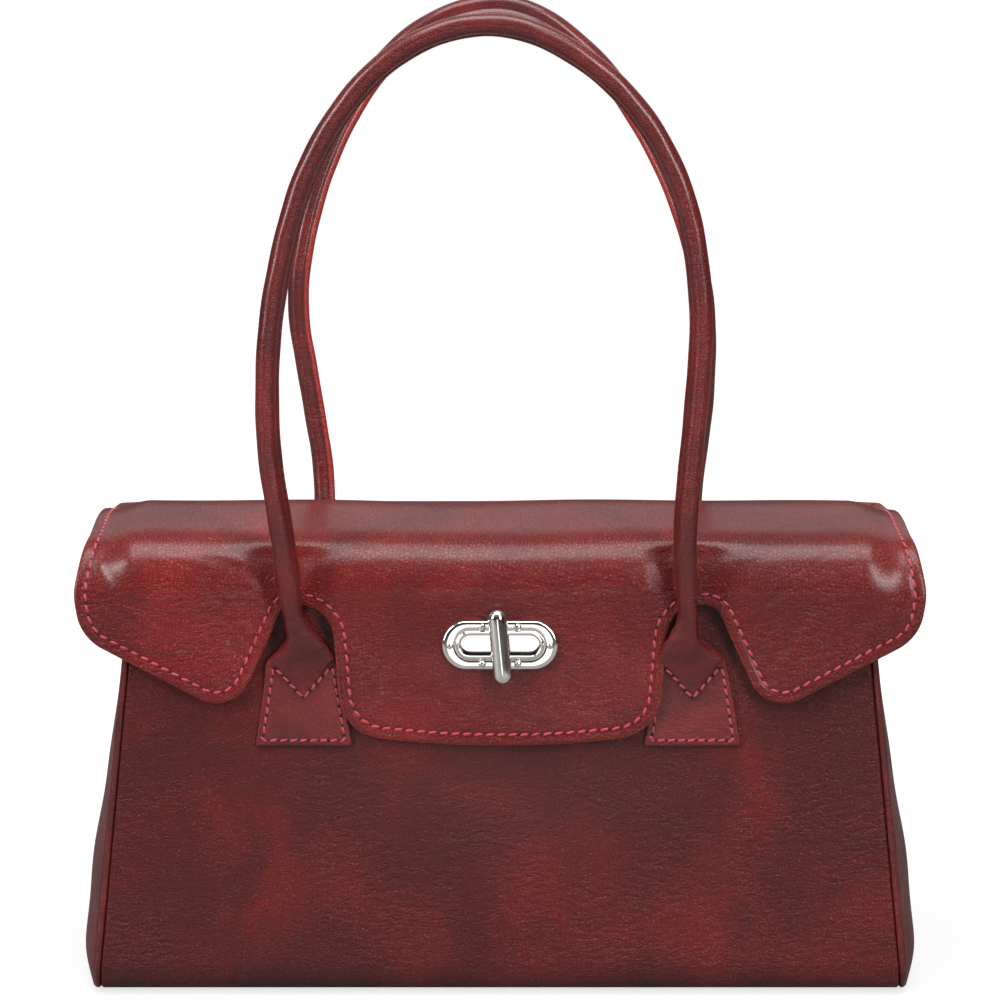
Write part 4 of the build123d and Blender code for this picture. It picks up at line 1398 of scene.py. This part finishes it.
# The bar is a rounded capsule on a stem, and turns a quarter turn to pass back through the slot.
bar_length, bar_half, bar_deep = 31.5, 3.9, 3.2
bar_out = 12.3
knob_tilt = np.radians(5.5)
cap = np.linspace(0, np.pi / 2, 12)
half_straight = bar_length / 2 - bar_half
straight = half_straight * np.linspace(-1, 1, 9)[1:-1]
capsule_at = np.concatenate(
    [-half_straight - bar_half * np.cos(cap), straight, half_straight + bar_half * np.sin(cap)]
)
capsule_wide = np.concatenate([np.sin(cap), np.ones(7), np.cos(cap)])
knob_sides = 40
capsule_turn = np.linspace(0, 2 * np.pi, knob_sides, endpoint=False)
across = bar_half * capsule_wide[:, None] * np.cos(capsule_turn)
deep = bar_out + bar_deep * capsule_wide[:, None] * np.sin(capsule_turn)
length = np.broadcast_to(capsule_at[:, None], across.shape)
capsule = on_lock(
    across * np.cos(knob_tilt) - length * np.sin(knob_tilt),
    across * np.sin(knob_tilt) + length * np.cos(knob_tilt),
    deep,
)
stem_out = np.array([7.05, 7.3, 8.6, 9.6, 10.4])
stem_radius = np.array([3.0, 3.2, 3.1, 2.6, 2.4])
stem = on_lock(
    stem_radius[:, None] * np.cos(capsule_turn), stem_radius[:, None] * np.sin(capsule_turn),
    np.broadcast_to(stem_out[:, None], (len(stem_out), knob_sides)),
)
spindle_radius = np.full((2, 1), 1.95)
spindle_out = np.array([-3.9, 7.05])
spindle = on_lock(
    spindle_radius * np.cos(capsule_turn), spindle_radius * np.sin(capsule_turn),
    np.broadcast_to(spindle_out[:, None], (2, knob_sides)),
)
stem = np.concatenate([spindle, stem])
stem_start = len(capsule) * knob_sides
stem_last = stem_start + (len(stem) - 1) * knob_sides
knob_faces = grid_faces(*capsule.shape[:2], round_columns=True).tolist()
knob_faces += grid_faces(*stem.shape[:2], start=stem_start, round_columns=True).tolist()
knob_faces.append(list(range(stem_start + knob_sides - 1, stem_start - 1, -1)))
knob_faces.append(list(range(stem_last, stem_last + knob_sides)))
knob = new_piece(
    "lock_turn_bar",
    np.concatenate([capsule.reshape(-1, 3), stem.reshape(-1, 3)]),
    knob_faces,
    [nickel],
)
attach(knob, "knob")
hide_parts("lock_knob")

plate_nickel = polished_nickel("stamped_nickel_plate", "e8e4dc", "d6d1c8", 0.10)
for node in ("lock_base_plate", "lock_back_plate", "lock_turret"):
    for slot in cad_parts[node].material_slots:
        slot.material = plate_nickel

# ---------------------------------------------------------------- hidden stiffeners and fixings
# A grey-board base keeps the floor flat, and a patch of it backs the lock behind the panel.
# The lock's stem is held there by a plain steel washer and a riveted retainer.


def fibre_board(name):
    """Pressed leather-fibre board: brown, matt, flecked with chopped fibres about 2 mm long."""
    material, tree, shader = empty_material(name)
    place = add(tree, "ShaderNodeTexCoord").outputs["Object"]
    flecks = add(tree, "ShaderNodeTexVoronoi", None, {"Vector": place, "Scale": 1000 / 2})
    stops = [(0.1, "6b5138"), (0.7, "8f7352")]
    colour = add(tree, "ShaderNodeValToRGB", None, {"Fac": flecks.outputs["Distance"]}, stops)
    tree.links.new(colour.outputs[0], shader.inputs["Base Color"])
    shader.inputs["Roughness"].default_value = 0.85
    return material


board = fibre_board("leather_fibre_board")
steel = polished_nickel("zinc_plated_steel", "b4b6b9", "9c9ea1", 0.35)
cord = cotton_drill("natural_cotton_cord", "d9cdb4", "a8987a", 1.6)
for material, nodes in (
    (board, ("base_board", "lock_patch")),
    (steel, ("lock_washer", "lock_retainer")),
    (cord, ("handle_front_core", "handle_back_core")),
):
    for node in nodes:
        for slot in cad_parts[node].material_slots:
            slot.material = material

# ---------------------------------------------------------------- floor, light and camera
# A white table top, two tall soft boxes in front, a wide one overhead and a white backdrop.
# Table and sky look white to the eye, while what they throw back into the leather stays dim.
floor_material, tree, shader = empty_material("white_table_laminate")
place = add(tree, "ShaderNodeTexCoord").outputs["Object"]
mottle = add(tree, "ShaderNodeTexNoise", None, {"Vector": place, "Scale": 1000 / 333})
colour = add(
    tree, "ShaderNodeValToRGB", None, {"Fac": mottle.outputs[0]}, [(0.3, "868686"), (0.7, "8a8a8a")]
)
tree.links.new(colour.outputs[0], shader.inputs["Base Color"])
shader.inputs["Roughness"].default_value = 0.6
shader.inputs["Specular IOR Level"].default_value = 0.1
# Seen by the camera the table glows white, and the glow is turned down to 0.72 within 0.25 m of the bag's
# middle as a painted contact shadow.
seen = add(tree, "ShaderNodeLightPath").outputs["Is Camera Ray"]
away = add(tree, "ShaderNodeVectorMath", {"operation": "LENGTH"}, {0: place})
glow_with_painted_shadow = add(tree, "ShaderNodeMapRange", None, {0: away.outputs["Value"], 1: 0.25, 2: 0.6, 3: 0.72, 4: 0.94})
lit = add(tree, "ShaderNodeMath", {"operation": "MULTIPLY"}, {0: seen, 1: glow_with_painted_shadow.outputs[0]})
tree.links.new(lit.outputs[0], shader.inputs["Emission Strength"])
shader.inputs["Emission Color"].default_value = (1, 1, 1, 1)
floor_half, floor_gap = 40000.0, 0.3
floor = new_piece(
    "table_top",
    [(floor_half * a, floor_half * b, -floor_gap) for a, b in ((-1, -1), (1, -1), (1, 1), (-1, 1))],
    [[0, 1, 2, 3]],
    [floor_material],
)


def soft_box(name, place, aim, size, power):
    """Rectangular area light in metres and watts, facing a point."""
    light = bpy.data.lights.new(name, "AREA")
    light.shape = "RECTANGLE"
    light.size, light.size_y = size
    light.energy = power
    lamp = bpy.data.objects.new(name, light)
    lamp.location = place
    lamp.rotation_euler = (Vector(aim) - Vector(place)).to_track_quat("-Z", "Y").to_euler()
    bpy.context.scene.collection.objects.link(lamp)


soft_box("soft_box_left", (-1.55, -1.15, 1.05), (0, 0, 0.2), (0.35, 1.5), 34)
soft_box("soft_box_right", (1.05, -1.6, 1.05), (0, 0, 0.2), (0.35, 1.5), 30)
soft_box("soft_box_top", (0, -0.45, 1.9), (0, 0, 0.15), (1.6, 1.0), 36)
soft_box("white_backdrop", (0, 1.7, 1.3), (0, 0, 0.3), (2.6, 1.5), 7)
soft_box("white_card_in_front", (0, -1.25, 0.1), (0, 0, 0.16), (0.24, 0.2), 0.25)

world = bpy.data.worlds.new("studio")
world.use_nodes = True
world.node_tree.nodes.clear()
direction = add(world.node_tree, "ShaderNodeTexCoord").outputs["Generated"]
upward = add(world.node_tree, "ShaderNodeSeparateXYZ", None, {0: direction}).outputs["Z"]
glow = add(
    world.node_tree, "ShaderNodeMapRange", {"interpolation_type": "SMOOTHSTEP"},
    {0: upward, 1: 0.15, 2: 0.95, 3: 0.03, 4: 0.35},
)
seen = add(world.node_tree, "ShaderNodeLightPath").outputs["Is Camera Ray"]
strength = add(
    world.node_tree, "ShaderNodeMix", {"data_type": "FLOAT"}, {0: seen, 2: glow.outputs[0], 3: 1.0}
).outputs[0]
sky = add(world.node_tree, "ShaderNodeBackground", None, {"Color": (1, 1, 1, 1), "Strength": strength})
add(world.node_tree, "ShaderNodeOutputWorld", None, {"Surface": sky.outputs[0]})
bpy.context.scene.world = world
bpy.context.scene.view_settings.view_transform = "Standard"

aim = Vector((0, 0, (mouth_height + 23.0) * MM))
elevation = np.radians(10)
distance = 1.4445
camera_data = bpy.data.cameras.new("camera")
camera_data.lens = 121.2
camera_data.sensor_width = 36.0
camera_data.shift_y = -0.0184
camera = bpy.data.objects.new("camera", camera_data)
camera.location = aim + distance * Vector((0, -np.cos(elevation), np.sin(elevation)))
camera.rotation_euler = (aim - camera.location).to_track_quat("-Z", "Y").to_euler()
bpy.context.scene.collection.objects.link(camera)
bpy.context.scene.camera = camera
